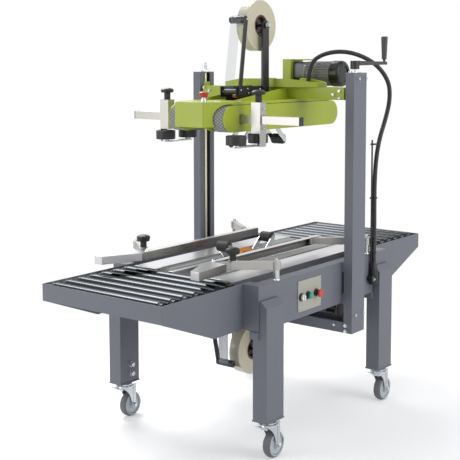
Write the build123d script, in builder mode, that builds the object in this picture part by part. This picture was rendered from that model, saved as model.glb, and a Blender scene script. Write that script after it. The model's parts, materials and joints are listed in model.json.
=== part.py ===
# Semi-automatic carton sealer with top and bottom belts, in millimetres.
# +X runs from the infeed to the outfeed, -Y is the operator's side, +Z is up.
# The origin is on the floor under the centre of the table.
from build123d import *
import os
from math import atan2, cos, degrees, hypot, radians, sin, tan

os.makedirs("parts", exist_ok=True)

# Table and centre box
table_length = 1770
table_top = 647
box_length = 910
box_width = 714
box_depth = 166.5
sheet = 3
lip_width = 45
bed_width = 570
bed_end_depth = 62
bed_slant = 269.5
tie_height = 25
tie_width = 40
tie_x = 380

# Bed rollers
roller_count = 7
roller_box_gap = 30
roller_end_gap = 34
roller_side_gap = 20
roller_diameter = 38
roller_above_table = 3
roller_cap = 17
axle_diameter = 10
side_gap = 0.3

# Legs and casters
leg_inset = 57.5
leg_width = 106.5
leg_depth = 61.7
leg_proud = 32.3
leg_top_z = 592
leg_bevel = 24
leg_bottom_z = 155
collar_overhang = 8
collar_height = 28
caster_plate = 6
wheel_diameter = 100
wheel_width = 32
caster_trail = 32
fork_gap = 3
fork_plate = 3
swivel_diameter = 52
caster_pin = 10
caster_head = 18
pedal_reach = 62
pedal_plate = 2.5
tyre_depth = 13

# Deck sheets and lower belts
belt_inner_y = 71
belt_width = 60
belt_above_table = 3
lower_belt_height = 60
lower_belt_end_gap = 10
strip_inner_y = 45
deck_outer_y = 245
deck_gap = 3
belt_axle = 16

# Columns and cross member
column_x = 145
column_width = 95.4
spacer_depth = 10.4
column_depth = 38.6
column_bottom_z = 362
column_top_z = 1393
column_wall = 4
column_slot = 41
column_cap = 4
member_height = 43
member_wall = 4
spacer_height = 40
screw_diameter = 16
screw_far_top_z = 1434
screw_inset = 12.6
screw_foot = 24
screw_foot_height = 12
screw_collar = 28
screw_collar_height = 8

# Control panel
panel_left_x = -211
panel_right_x = -56
panel_bottom_z = 504
panel_top_z = 621
panel_plate = 3
button_z = 560
switch_x = -192
start_x = -148
stop_x = -92

# Guides
rail_inner_y = 150
rail_depth = 26
rail_bottom_z = 686
rail_height = 30
rail_sheet = 2
rail_end_x = 228
ski_front_x = -657
ski_tip_inner_y = 215
ski_tip_outer_y = 253
ski_heel_x = -510
ski_wall_end_x = -480
ski_wall_end_y = 233
post_front_x = -330
post_rear_x = 310
post_inset = 12
post_diameter = 22
pivot_pin = 12
pivot_fit = 0.1
arm_shift_x = -140
pivot_inset = 14
arm_width = 20
arm_neck_length = 62
arm_neck_height = 24.6
arm_eye = 22
clamp_reach = 0.69
clamp_stem = 25
clamp_knob = 53
clamp_stem_height = 27
clamp_knob_height = 24

# Head
head_front_x = -412
head_rear_x = 400
head_top_z = 1286
head_sheet = 3
head_side_inner_y = 63
head_side_wall = 4
head_bottom_z = 1178
nose_bottom_z = 1193
nose_low_x = -345
nose_low_z = 1174
shoulder_x = -310
shoulder_y = 131
deck_flange = 12
wedge_inner_y = 85
wedge_wall = 4
wedge_front_x = -273
wedge_top_z = 1334
arm_front_x = 103
arm_back_x = 187
arm_top_z = 1334
arm_end_gap = 10.4
upper_pulley_front_x = -322
upper_pulley_rear_x = 362
upper_belt_z = 1223
upper_belt_radius = 50
belt_thickness = 3.5
guard_gap = 0.5
guard_wall = 4
neck_width = 39
nut_height = 80
nut_clearance = 1.4

# Motor and its platform
platform_front_x = 55
platform_front_y = 115
platform_corner_x = 100
platform_end_x = 178
platform_y = 230
platform_back_x = 235
platform_height = 34
platform_droop = 15
shelf_flange = 15
shelf_half_width = 64
shelf_back_gap = 3
motor_x = 290
motor_lift = 52.5
gearbox_start_y = -7
gearbox_length = 62
gearbox_depth = 68
gearbox_lift = 27
gearbox_height = 74
gearbox_corner = 12
motor_length = 129
motor_diameter = 102
motor_fins = 28
fin_height = 6
fin_thick = 3
fan_length = 45
fan_diameter = 108
bracket_depth = 41
bracket_half_width = 47
bracket_height = 113
bracket_hood = 75
bracket_wall = 5

# Lower drive under the centre box
lower_motor_z = 405
hanger_plate = 5

# Press bar and press blocks
bar_x = -262
bar_width = 25
bar_bottom_z = 1205
bar_height = 31
bar_half_length = 405
bar_clearance = 0.5
block_width = 38
block_length = 42
block_bottom_z = 1170
block_top_z = 1286
near_block_y = -213
far_block_y = 238
press_roller_diameter = 76
press_roller_height = 35
press_roller_top_z = 1167
press_roller_pitch = 134
press_roller_inset = 22
press_plate_gap = 6
press_plate_width = 36
near_press_x = -236
far_press_x = -297
press_plate = 5
press_wall = 3
press_knob_stem_height = 28
press_knob_height = 18

# Tape heads
tape_width = 48
tape_roll_diameter = 203
tape_pin = 12
upper_roll_x = 10
upper_roll_z = 1580
lower_roll_x = -38
lower_roll_z = 268
tape_frame_inner_y = 36
tape_frame_wall = 3
tape_arm_y = 28
tape_arm_wall = 4
tape_roller_diameter = 42
tape_arm_x = 103.5
tape_arm_z = 99
upper_front_roller_x = -122
upper_roller_z = 1116
lower_front_roller_x = -200
lower_roller_z = 712
tape_arm_spread = 287
stand_bar_y = 34
stand_bar_thick = 10
stand_bar_width = 40
roll_hub = 76
roll_hub_width = 28
guide_roller_diameter = 30
guide_roller_shift = 4
strip_arm_width = 20
strip_arm_thick = 6
strip_guide_x = -114
plate_front_x = -140
plate_rear_x = 95
cheek_front_x = -175
cheek_rear_x = 32
cheek_height = 54
plate_above_deck = 12
plate_below_pivot = 20
lug_length = 20
lug_drop = 20
cheek_roller_x = -160
cheek_roller_diameter = 20
lower_plate_front_x = -175
lower_plate_rear_x = 60
lower_plate_lift = 10
blade_front_x = -104
blade_rear_x = -14
blade_half_width = 24
blade_depth = 12
blade_sheet = 2
blade_top_z = 684
blade_post_x = -57.5
blade_post_width = 9
lower_guide_x = -191
lower_guide_z = 243
lower_guide_knee_x = -224
lower_guide_knee_z = 380
lower_guide_diameter = 28
lower_guide_length = 80
lower_bar_rise = 60

# Crank, emergency stop and conduit
crank_reach_x = 117
crank_reach_y = 64
crank_above_column = 37
crank_arm_thick = 19
crank_arm_tip = 12
crank_arm_width = 24
crank_hub = 36
crank_hub_gap = 13
crank_knob = 27
crank_knob_foot = 19
crank_knob_gap = 15
crank_knob_height = 90
stop_button_x = -375
stop_button_y = -43
stop_button = 36
stop_button_foot = 26
stop_collar_height = 17
stop_head_height = 21
stop_stem = 16
stop_collar = 24
stop_travel = 4
conduit_diameter = 19
gland_inset = 131
gland_stand_off = 15
gland_top_z = 590
gland_height = 70

# Values worked out from the sizes above
half_length = table_length / 2
box_bottom = table_top - box_depth
box_half = box_length / 2
box_wall_y = box_width / 2
bed_flat_end = half_length - bed_slant
leg_x = box_half - leg_inset
post_y = box_wall_y - post_inset
pivot_y = rail_inner_y + pivot_inset
bed_half = bed_width / 2
bed_inner = bed_half - sheet
bed_end_z = table_top - bed_end_depth
leg_outer_y = box_wall_y + leg_proud
leg_inner_y = leg_outer_y - leg_depth
roller_first_x = box_half + roller_box_gap
roller_pitch = (half_length - roller_end_gap - roller_first_x) / (roller_count - 1)
roller_half_length = bed_inner - roller_side_gap - roller_cap
wheel_z = wheel_diameter / 2
wheel_y = leg_outer_y - leg_depth / 2
plate_bottom = leg_bottom_z - caster_plate
roller_z = table_top + roller_above_table - roller_diameter / 2
tie_top = box_bottom + 80 + tie_height
belt_outer_y = belt_inner_y + belt_width
lower_belt_top = table_top + belt_above_table
lower_pulley_x = box_half - lower_belt_end_gap - lower_belt_height / 2
lower_belt_z = lower_belt_top - lower_belt_height / 2
rail_top_z = rail_bottom_z + rail_height
rail_outer_y = rail_inner_y + rail_depth
arm_shift_y = post_y - pivot_y
arm_length = hypot(arm_shift_x, arm_shift_y)
column_left = column_x - column_width / 2
column_inner_y = box_wall_y + spacer_depth
column_outer_y = column_inner_y + column_depth
screw_y = column_inner_y + screw_inset
arm_half_length = column_inner_y - arm_end_gap
crank_end_x = column_x + crank_reach_x
crank_end_y = -screw_y - crank_reach_y
crank_arm_z = column_top_z + crank_above_column
crank_hub_z = column_top_z + crank_hub_gap
gland_x = box_half - gland_inset
gland_y = -box_wall_y - gland_stand_off
upper_belt_mid_x = (upper_pulley_front_x + upper_pulley_rear_x) / 2
upper_belt_span = upper_pulley_rear_x - upper_pulley_front_x
guard_inner_y = belt_outer_y + guard_gap
bar_top_z = bar_bottom_z + bar_height
bar_mid_z = bar_bottom_z + bar_height / 2
platform_floor_z = arm_top_z + head_sheet
platform_top_z = arm_top_z + platform_height
shelf_back_x = motor_x + bracket_half_width + shelf_back_gap
motor_z = arm_top_z + motor_lift
gearbox_bottom_z = arm_top_z + gearbox_lift
gearbox_front_x = motor_x + bracket_half_width - bracket_wall - 2 - gearbox_depth
upper_rear_roller_x = upper_front_roller_x + tape_arm_spread
lower_rear_roller_x = lower_front_roller_x + tape_arm_spread


def block(x, y, z, mode=Mode.ADD):
    """Add a block that fills the given pairs of limits along X, Y and Z."""
    with Locations(((x[0] + x[1]) / 2, (y[0] + y[1]) / 2, (z[0] + z[1]) / 2)):
        Box(x[1] - x[0], y[1] - y[0], z[1] - z[0], mode=mode)


def cross_rod(x, z, y, diameter, mode=Mode.ADD):
    """Add a round bar along Y between the two values of y."""
    with Locations(Location((x, (y[0] + y[1]) / 2, z), (90, 0, 0))):
        Cylinder(diameter / 2, y[1] - y[0], mode=mode)


def upright_rod(x, y, z, diameter, mode=Mode.ADD):
    """Add a round bar along Z between the two values of z."""
    with Locations((x, y, (z[0] + z[1]) / 2)):
        Cylinder(diameter / 2, z[1] - z[0], mode=mode)


def turned(origin, direction, across, profile, mode=Mode.ADD):
    """Revolve a closed outline of (radius, height) points, each with an optional corner radius."""
    radii = [point[2] if len(point) > 2 else 0 for point in profile]
    corners = [point[:2] for point in profile]
    side = Vector(*across)
    with BuildSketch(Plane(origin=origin, x_dir=side, z_dir=side.cross(Vector(*direction)))) as outline:
        with BuildLine():
            FilletPolyline(*corners, radius=radii, close=True)
        make_face()
    revolve(outline.sketch, axis=Axis(origin, direction), mode=mode)


def fluted_knob(x, y, z, stem_height, head_height):
    """Add a moulded clamp knob: a fluted stem under a domed head."""
    stem = clamp_stem / 2
    head = clamp_knob / 2
    top = stem_height + head_height
    turned((x, y, z), (0, 0, 1), (1, 0, 0),
           ((0, 0), (stem, 0), (stem, stem_height), (head - 3, stem_height, 1.5), (head, top - 8, 2),
            (head - 5, top - 3, 4), (stem, top, 4), (0, top)))
    with Locations((x, y, z + stem_height / 2)):
        with PolarLocations(stem + 1.5, 6):
            Cylinder(3, stem_height - 4, mode=Mode.SUBTRACT)


def gear_motor(x, z, start_y, front_x, bottom_z):
    """Add a gearbox, a finned motor and a fan cover that reach towards -Y from start_y."""
    with BuildSketch(Plane.XZ.offset(-start_y)) as case:
        with Locations((front_x + gearbox_depth / 2, bottom_z + gearbox_height / 2)):
            RectangleRounded(gearbox_depth, gearbox_height, gearbox_corner)
    extrude(case.sketch, amount=gearbox_length)
    body_y = start_y - gearbox_length
    core = motor_diameter / 2 - fin_height
    flange = motor_diameter / 2 - 1
    cover = fan_diameter / 2
    turned((x, body_y, z), (0, -1, 0), (1, 0, 0),
           ((0, -4), (core, -4), (flange, 0), (flange, 7, 2), (core, 9), (core, motor_length), (0, motor_length)))
    with Locations(Location((x, body_y - (motor_length + 7) / 2, z), (90, 0, 0))):
        with PolarLocations(core + fin_height / 2 - 1, motor_fins):
            Box(fin_height + 2, fin_thick, motor_length - 7)
    turned((x, body_y - motor_length, z), (0, -1, 0), (1, 0, 0),
           ((0, 0), (cover, 0), (cover, fan_length, 14), (0.6 * cover, fan_length),
            (0.6 * cover, fan_length - 4), (0, fan_length - 4)))


# Centre box: a deep sheet tray with a turned lip, open below and on top
with BuildPart() as centre_box:
    block((-box_half, box_half), (-box_wall_y, box_wall_y), (box_bottom, table_top))
    block((-box_half + sheet, box_half - sheet), (-box_wall_y + sheet, box_wall_y - sheet),
          (box_bottom, table_top - sheet), mode=Mode.SUBTRACT)
    block((-box_half + lip_width, box_half - lip_width), (-box_wall_y + lip_width, box_wall_y - lip_width),
          (table_top - sheet, table_top), mode=Mode.SUBTRACT)
    block((-box_half, box_half), (-bed_inner, bed_inner), (tie_top, table_top), mode=Mode.SUBTRACT)
    for side in (-1, 1):
        block((side * tie_x - tie_width / 2, side * tie_x + tie_width / 2),
              (-box_wall_y + sheet, box_wall_y - sheet), (tie_top - tie_height, tie_top))
centre_box.part.label = "centre_box"
export_step(centre_box.part, "parts/centre_box.step")

# Infeed and outfeed beds: side plates with a slanted lower edge, joined by an end plate
with BuildPart() as bed_frames:
    with BuildSketch(Plane.XZ.offset(bed_inner)):
        with BuildLine():
            Polyline((-half_length, table_top), (-half_length, bed_end_z), (-bed_flat_end, box_bottom),
                     (-box_half, box_bottom), (-box_half, table_top), close=True)
        make_face()
    extrude(amount=sheet)
    for index in range(roller_count):
        roller_x = -roller_first_x - index * roller_pitch
        block((roller_x - axle_diameter, roller_x + axle_diameter), (-bed_inner, -bed_inner + roller_cap - 4),
              (roller_z - axle_diameter, roller_z + axle_diameter / 2 + 3))
        cross_rod(roller_x, roller_z, (-bed_inner, 0), axle_diameter + 2 * pivot_fit, mode=Mode.SUBTRACT)
    mirror(about=Plane.XZ)
    block((-half_length, -half_length + sheet), (-bed_half, bed_half), (bed_end_z, table_top))
    block((-half_length, -half_length + tie_width), (-bed_inner, bed_inner), (bed_end_z, bed_end_z + sheet))
    mirror(about=Plane.YZ)
bed_frames.part.label = "bed_frames"
export_step(bed_frames.part, "parts/bed_frames.step")

# Bed rollers: steel tubes on a through axle, with black end caps
for side, bed_name in ((-1, "infeed"), (1, "outfeed")):
    for index in range(roller_count):
        roller_x = side * (roller_first_x + index * roller_pitch)
        cap_end = roller_half_length + roller_cap
        with BuildPart() as bed_roller:
            cross_rod(roller_x, roller_z, (-roller_half_length, roller_half_length), roller_diameter)
            cross_rod(roller_x, roller_z, (-cap_end, cap_end), roller_diameter - 6)
            cross_rod(roller_x, roller_z, (-bed_inner + side_gap, bed_inner - side_gap), axle_diameter)
        bed_roller.part.label = f"{bed_name}_roller_{index + 1}"
        export_step(bed_roller.part, f"parts/{bed_name}_roller_{index + 1}.step")

# Legs: square tubes that overlap the box wall, with a bevelled top, a collar and a foot plate
with BuildPart() as legs:
    with BuildSketch(Plane.YZ.offset(-leg_x - leg_width / 2)):
        with BuildLine():
            Polyline((-leg_inner_y, leg_bottom_z), (-leg_outer_y, leg_bottom_z),
                     (-leg_outer_y, leg_top_z - leg_bevel), (-leg_outer_y + leg_bevel, leg_top_z),
                     (-box_wall_y, leg_top_z), (-box_wall_y, box_bottom), (-leg_inner_y, box_bottom), close=True)
        make_face()
    extrude(amount=leg_width)
    block((-leg_x - leg_width / 2 - collar_overhang, -leg_x + leg_width / 2 + collar_overhang),
          (-box_wall_y, -leg_inner_y + collar_overhang), (box_bottom - collar_height, box_bottom))
    block((-leg_x - leg_width / 2, -leg_x + leg_width / 2), (-leg_outer_y - 4, -leg_inner_y + 4),
          (plate_bottom, leg_bottom_z))
    mirror(about=Plane.YZ)
    mirror(about=Plane.XZ)
legs.part.label = "legs"
export_step(legs.part, "parts/legs.step")

# Casters: a swivel fork with a brake pedal, and a wheel on its pin
corners = (("near_infeed", -leg_x, -wheel_y), ("far_infeed", -leg_x, wheel_y),
           ("near_outfeed", leg_x, -wheel_y), ("far_outfeed", leg_x, wheel_y))
for corner_name, caster_x, caster_y in corners:
    axle_x = caster_x + caster_trail
    inner = wheel_width / 2 + fork_gap
    crown_z = plate_bottom - caster_head
    head = swivel_diameter / 2
    with BuildPart() as caster_fork:
        turned((caster_x, caster_y, crown_z), (0, 0, 1), (1, 0, 0),
               ((0, 0), (head, 0), (head, 6), (head - 2.5, 8), (head, 10), (head, 15, 1), (head - 4, 15),
                (head - 4, caster_head - side_gap), (0, caster_head - side_gap)))
        with BuildSketch(Plane.XZ.offset(-caster_y + inner)):
            with BuildLine():
                Polyline((axle_x + 12, wheel_z), (axle_x + 12, crown_z + 6), (axle_x - 6, crown_z + 6),
                         (axle_x - 12, crown_z), (caster_x - head, crown_z), (caster_x - head, crown_z - 6))
                ThreePointArc((caster_x - head, crown_z - 6), (caster_x + 4, crown_z - 32),
                              (axle_x - 12, wheel_z))
                ThreePointArc((axle_x - 12, wheel_z), (axle_x, wheel_z - 12), (axle_x + 12, wheel_z))
            make_face()
        extrude(amount=fork_plate)
        block((axle_x - 4, axle_x + 7), (caster_y - inner - fork_plate - 2, caster_y - inner - fork_plate),
              (wheel_z, crown_z + 6))
        cross_rod(axle_x, wheel_z, (caster_y - inner - fork_plate - 5, caster_y - inner - fork_plate), 18)
        mirror(about=Plane.XZ.offset(-caster_y))
        block((caster_x - head, axle_x - 12), (caster_y - inner - fork_plate, caster_y + inner + fork_plate),
              (crown_z - 3, crown_z))
        with BuildSketch(Plane.XZ.offset(-caster_y - wheel_width / 2)):
            with BuildLine():
                Polyline((caster_x - head + 4, crown_z), (caster_x - head, crown_z - 14),
                         (caster_x - head - pedal_plate, crown_z - 14), (caster_x - head - 5, crown_z - 5),
                         (caster_x - pedal_reach, crown_z + 4),
                         (caster_x - pedal_reach, crown_z + 4 + pedal_plate), (caster_x - head - 4, crown_z),
                         close=True)
            make_face()
        extrude(amount=wheel_width)
        cross_rod(axle_x, wheel_z, (caster_y - inner - fork_plate - 5, caster_y + inner + fork_plate + 5),
                  caster_pin)
    caster_fork.part.label = f"{corner_name}_caster_fork"
    export_step(caster_fork.part, f"parts/{corner_name}_caster_fork.step")
    rim = wheel_diameter / 2 - tyre_depth
    half = wheel_width / 2
    hub_end = inner - 0.5
    bore = caster_pin / 2 + pivot_fit
    tread = wheel_diameter / 2
    half_outline = ((3 * caster_pin / 2, hub_end), (3 * caster_pin / 2, half - 3), (rim - 2, half - 3),
                    (rim, half - 5), (rim, half, 0.8), (tread - 5, half, 4), (tread, half - 9, 6))
    mirrored = tuple((radius, -height, *corner) for radius, height, *corner in reversed(half_outline))
    with BuildPart() as caster_wheel:
        turned((axle_x, caster_y, wheel_z), (0, 1, 0), (1, 0, 0),
               ((bore, hub_end), *half_outline, *mirrored, (bore, -hub_end)))
    caster_wheel.part.label = f"{corner_name}_caster_wheel"
    export_step(caster_wheel.part, f"parts/{corner_name}_caster_wheel.step")

# Deck: folded stainless channels on both sides of each lower belt
with BuildPart() as deck:
    for low_y, high_y in ((strip_inner_y, belt_inner_y - deck_gap), (belt_outer_y + deck_gap, deck_outer_y)):
        block((-box_half + sheet, box_half - sheet), (low_y, high_y), (tie_top, table_top))
        block((-box_half + sheet, box_half - sheet), (low_y + sheet, high_y - sheet), (tie_top, table_top - sheet),
              mode=Mode.SUBTRACT)
    mirror(about=Plane.XZ)
deck.part.label = "deck"
export_step(deck.part, "parts/deck.step")

# Lower belts: two loops over end pulleys, whose axles meet the folded deck edges, and the
# gear motor that hangs under the deck on a bent plate
lower_gearbox_y = gearbox_start_y
with BuildPart() as lower_belts:
    with BuildSketch(Plane.XZ.offset(belt_inner_y)):
        with Locations((0, lower_belt_z)):
            SlotCenterToCenter(2 * lower_pulley_x, lower_belt_height)
    extrude(amount=belt_width)
    for side in (-1, 1):
        cross_rod(side * lower_pulley_x, lower_belt_z,
                  (-belt_outer_y - deck_gap, -belt_inner_y + deck_gap), belt_axle)
    mirror(about=Plane.XZ)
    block((motor_x - bracket_half_width, motor_x + bracket_half_width),
          (-belt_inner_y + deck_gap, belt_inner_y - deck_gap), (tie_top - hanger_plate, tie_top))
    block((motor_x - bracket_half_width, motor_x + bracket_half_width),
          (lower_gearbox_y, lower_gearbox_y + hanger_plate),
          (lower_motor_z - gearbox_height / 2, tie_top - hanger_plate))
    gear_motor(motor_x, lower_motor_z, lower_gearbox_y, motor_x - gearbox_depth / 2,
               lower_motor_z - gearbox_height / 2)
lower_belts.part.label = "lower_belts"
export_step(lower_belts.part, "parts/lower_belts.step")

# Columns: lipped channels, open towards the machine, with a plate at each end
with BuildPart() as columns:
    block((column_left, column_left + column_width), (-column_outer_y, -column_inner_y),
          (column_bottom_z, column_top_z))
    block((column_left + column_wall, column_left + column_width - column_wall),
          (-column_outer_y + column_wall, -column_inner_y - column_wall),
          (column_bottom_z + column_cap, column_top_z - column_cap), mode=Mode.SUBTRACT)
    block((column_x - column_slot / 2, column_x + column_slot / 2),
          (-column_inner_y - column_wall, -column_inner_y), (column_bottom_z + column_cap, column_top_z - column_cap), mode=Mode.SUBTRACT)
    upright_rod(column_x, -screw_y, (column_top_z - 2 * column_cap, column_top_z + 1),
                screw_diameter + 2 * pivot_fit, mode=Mode.SUBTRACT)
    mirror(about=Plane.XZ)
columns.part.label = "columns"
export_step(columns.part, "parts/columns.step")

# Cross member under the table, with the spacers that hold the columns off the box walls
with BuildPart() as cross_member:
    block((column_left, column_left + column_width), (-column_inner_y, column_inner_y),
          (column_bottom_z, column_bottom_z + member_height))
    block((column_left + member_wall, column_left + column_width - member_wall),
          (-column_inner_y + member_wall, column_inner_y - member_wall),
          (column_bottom_z + member_wall, column_bottom_z + member_height + 1), mode=Mode.SUBTRACT)
    for spacer_z in (box_bottom + spacer_height / 2, table_top - spacer_height / 2):
        block((column_left, column_left + column_width), (-column_inner_y, -box_wall_y),
              (spacer_z - spacer_height / 2, spacer_z + spacer_height / 2))
        block((column_left, column_left + column_width), (box_wall_y, column_inner_y),
              (spacer_z - spacer_height / 2, spacer_z + spacer_height / 2))
cross_member.part.label = "cross_member"
export_step(cross_member.part, "parts/cross_member.step")

# Lead screws, which stand on the bottom plates of the columns
screw_bottom = column_bottom_z + column_cap
with BuildPart() as lead_screws:
    for screw_side_y, screw_top in ((-screw_y, crank_hub_z), (screw_y, screw_far_top_z)):
        upright_rod(column_x, screw_side_y, (screw_bottom, screw_top), screw_diameter)
        upright_rod(column_x, screw_side_y, (screw_bottom, screw_bottom + screw_foot_height), screw_foot)
        upright_rod(column_x, screw_side_y, (column_top_z, column_top_z + screw_collar_height), screw_collar)
lead_screws.part.label = "lead_screws"
export_step(lead_screws.part, "parts/lead_screws.step")

# Hand crank on the near lead screw: a hub, a tapered arm and a turned handle on its pin
with BuildPart() as crank:
    arm_reach = hypot(crank_reach_x, crank_reach_y)
    arm_way = Vector(crank_reach_x, -crank_reach_y, 0).normalized()
    upright_rod(column_x, -screw_y, (crank_hub_z + side_gap, crank_arm_z + crank_arm_thick / 2), crank_hub)
    with BuildSketch(Plane(origin=(column_x, -screw_y, crank_arm_z), x_dir=arm_way,
                           z_dir=arm_way.cross(Vector(0, 0, 1)))):
        with BuildLine():
            Polyline((0, -crank_arm_thick / 2), (arm_reach, -crank_arm_tip / 2), (arm_reach, crank_arm_tip / 2),
                     (0, crank_arm_thick / 2), close=True)
        make_face()
    extrude(amount=crank_arm_width / 2, both=True)
    upright_rod(crank_end_x, crank_end_y, (crank_arm_z - crank_arm_tip / 2, crank_arm_z + crank_arm_tip / 2),
                crank_arm_width)
    upright_rod(crank_end_x, crank_end_y, (crank_arm_z, crank_arm_z + crank_knob_gap), 10)
    turned((crank_end_x, crank_end_y, crank_arm_z + crank_knob_gap), (0, 0, 1), (1, 0, 0),
           ((0, 0), (crank_knob_foot / 2, 0, 2), (crank_knob / 2, crank_knob_height, 4), (0, crank_knob_height)))
crank.part.label = "crank"
export_step(crank.part, "parts/crank.step")

# Control panel on the near wall: plate, selector switch, start and stop buttons
with BuildPart() as control_panel:
    block((panel_left_x, panel_right_x), (-box_wall_y - panel_plate, -box_wall_y),
          (panel_bottom_z, panel_top_z))
    panel_face_y = -box_wall_y - panel_plate
    for button_x, reach, cap in ((switch_x, 16, 24), (start_x, 20, 24), (stop_x, 26, 30)):
        turned((button_x, panel_face_y, button_z), (0, -1, 0), (1, 0, 0),
               ((0, 0), (15, 0), (15, 5, 1), (11, 6), (11, reach - 8), (cap / 2, reach - 7, 0.5),
                (cap / 2, reach, 2), (0, reach)))
    block((switch_x - 3, switch_x + 3), (panel_face_y - 20, panel_face_y - 12), (button_z - 11, button_z + 11))
control_panel.part.label = "control_panel"
export_step(control_panel.part, "parts/control_panel.step")

# Guide posts on the lips of the centre box, each with its pivot pin
with BuildPart() as guide_posts:
    for post_x in (post_front_x, post_rear_x):
        for side in (-1, 1):
            upright_rod(post_x, side * post_y, (table_top, rail_bottom_z - side_gap), post_diameter)
            upright_rod(post_x, side * post_y, (table_top, rail_top_z - 4), pivot_pin)
guide_posts.part.label = "guide_posts"
export_step(guide_posts.part, "parts/guide_posts.step")

# Guides: a channel rail with a flared front end, swung on two parallel arms
for side, side_name in ((-1, "near"), (1, "far")):
    with BuildPart() as rail:
        with BuildSketch(Plane.XY.offset(rail_bottom_z)):
            with BuildLine():
                Polyline((rail_end_x, side * rail_inner_y), (ski_heel_x, side * rail_inner_y),
                         (ski_front_x, side * ski_tip_inner_y), (ski_front_x, side * ski_tip_outer_y),
                         (ski_wall_end_x, side * ski_wall_end_y), (ski_wall_end_x, side * rail_outer_y),
                         (rail_end_x, side * rail_outer_y), close=True)
            make_face()
        extrude(amount=rail_height)
        with BuildSketch(Plane.XY.offset(rail_bottom_z + rail_sheet)):
            with BuildLine():
                Polyline((rail_end_x + 1, side * (rail_inner_y + rail_sheet)),
                         (ski_heel_x + 0.5, side * (rail_inner_y + rail_sheet)),
                         (ski_front_x + rail_sheet, side * (ski_tip_inner_y + rail_sheet)),
                         (ski_front_x + rail_sheet, side * (ski_tip_outer_y - rail_sheet)),
                         (ski_wall_end_x, side * (ski_wall_end_y - rail_sheet)),
                         (ski_wall_end_x + 1, side * (ski_wall_end_y - rail_sheet)),
                         (ski_wall_end_x + 1, side * (rail_outer_y + 1)),
                         (rail_end_x + 1, side * (rail_outer_y + 1)), close=True)
            make_face()
        extrude(amount=rail_height - 2 * rail_sheet, mode=Mode.SUBTRACT)
        for post_x in (post_front_x, post_rear_x):
            upright_rod(post_x + arm_shift_x, side * pivot_y, (rail_bottom_z, rail_top_z), pivot_pin)
    rail.part.label = f"{side_name}_guide_rail"
    export_step(rail.part, f"parts/{side_name}_guide_rail.step")
    for post_x, arm_name in ((post_front_x, "front"), (post_rear_x, "rear")):
        turn = degrees(atan2(-side * arm_shift_y, arm_shift_x))
        along = (cos(radians(turn)), sin(radians(turn)))
        with BuildPart() as guide_arm:
            with BuildSketch(Plane.XY.offset(rail_bottom_z)):
                with Locations(Location((post_x, side * post_y, 0), (0, 0, turn))):
                    Circle(arm_width / 2 + 6)
                    with Locations(((arm_length - arm_neck_length) / 2, 0)):
                        Rectangle(arm_length - arm_neck_length, arm_width)
            extrude(amount=rail_height)
            with BuildSketch(Plane.XY.offset(rail_bottom_z + (rail_height - arm_neck_height) / 2)):
                with Locations(Location((post_x, side * post_y, 0), (0, 0, turn))):
                    with Locations((arm_length - arm_neck_length / 2, 0)):
                        Rectangle(arm_neck_length, arm_width - 2)
                    with Locations((arm_length, 0)):
                        Circle(arm_eye / 2)
            extrude(amount=arm_neck_height)
            upright_rod(post_x, side * post_y, (rail_bottom_z, rail_top_z - 4 + side_gap),
                        pivot_pin + 2 * pivot_fit, mode=Mode.SUBTRACT)
            upright_rod(post_x + arm_shift_x, side * pivot_y, (rail_bottom_z, rail_top_z),
                        pivot_pin + 2 * pivot_fit, mode=Mode.SUBTRACT)
            if arm_name == "front":
                knob_x = post_x + along[0] * clamp_reach * arm_length
                knob_y = side * post_y + along[1] * clamp_reach * arm_length
                fluted_knob(knob_x, knob_y, rail_top_z, clamp_stem_height, clamp_knob_height)
        guide_arm.part.label = f"{side_name}_{arm_name}_guide_arm"
        export_step(guide_arm.part, f"parts/{side_name}_{arm_name}_guide_arm.step")

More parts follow.
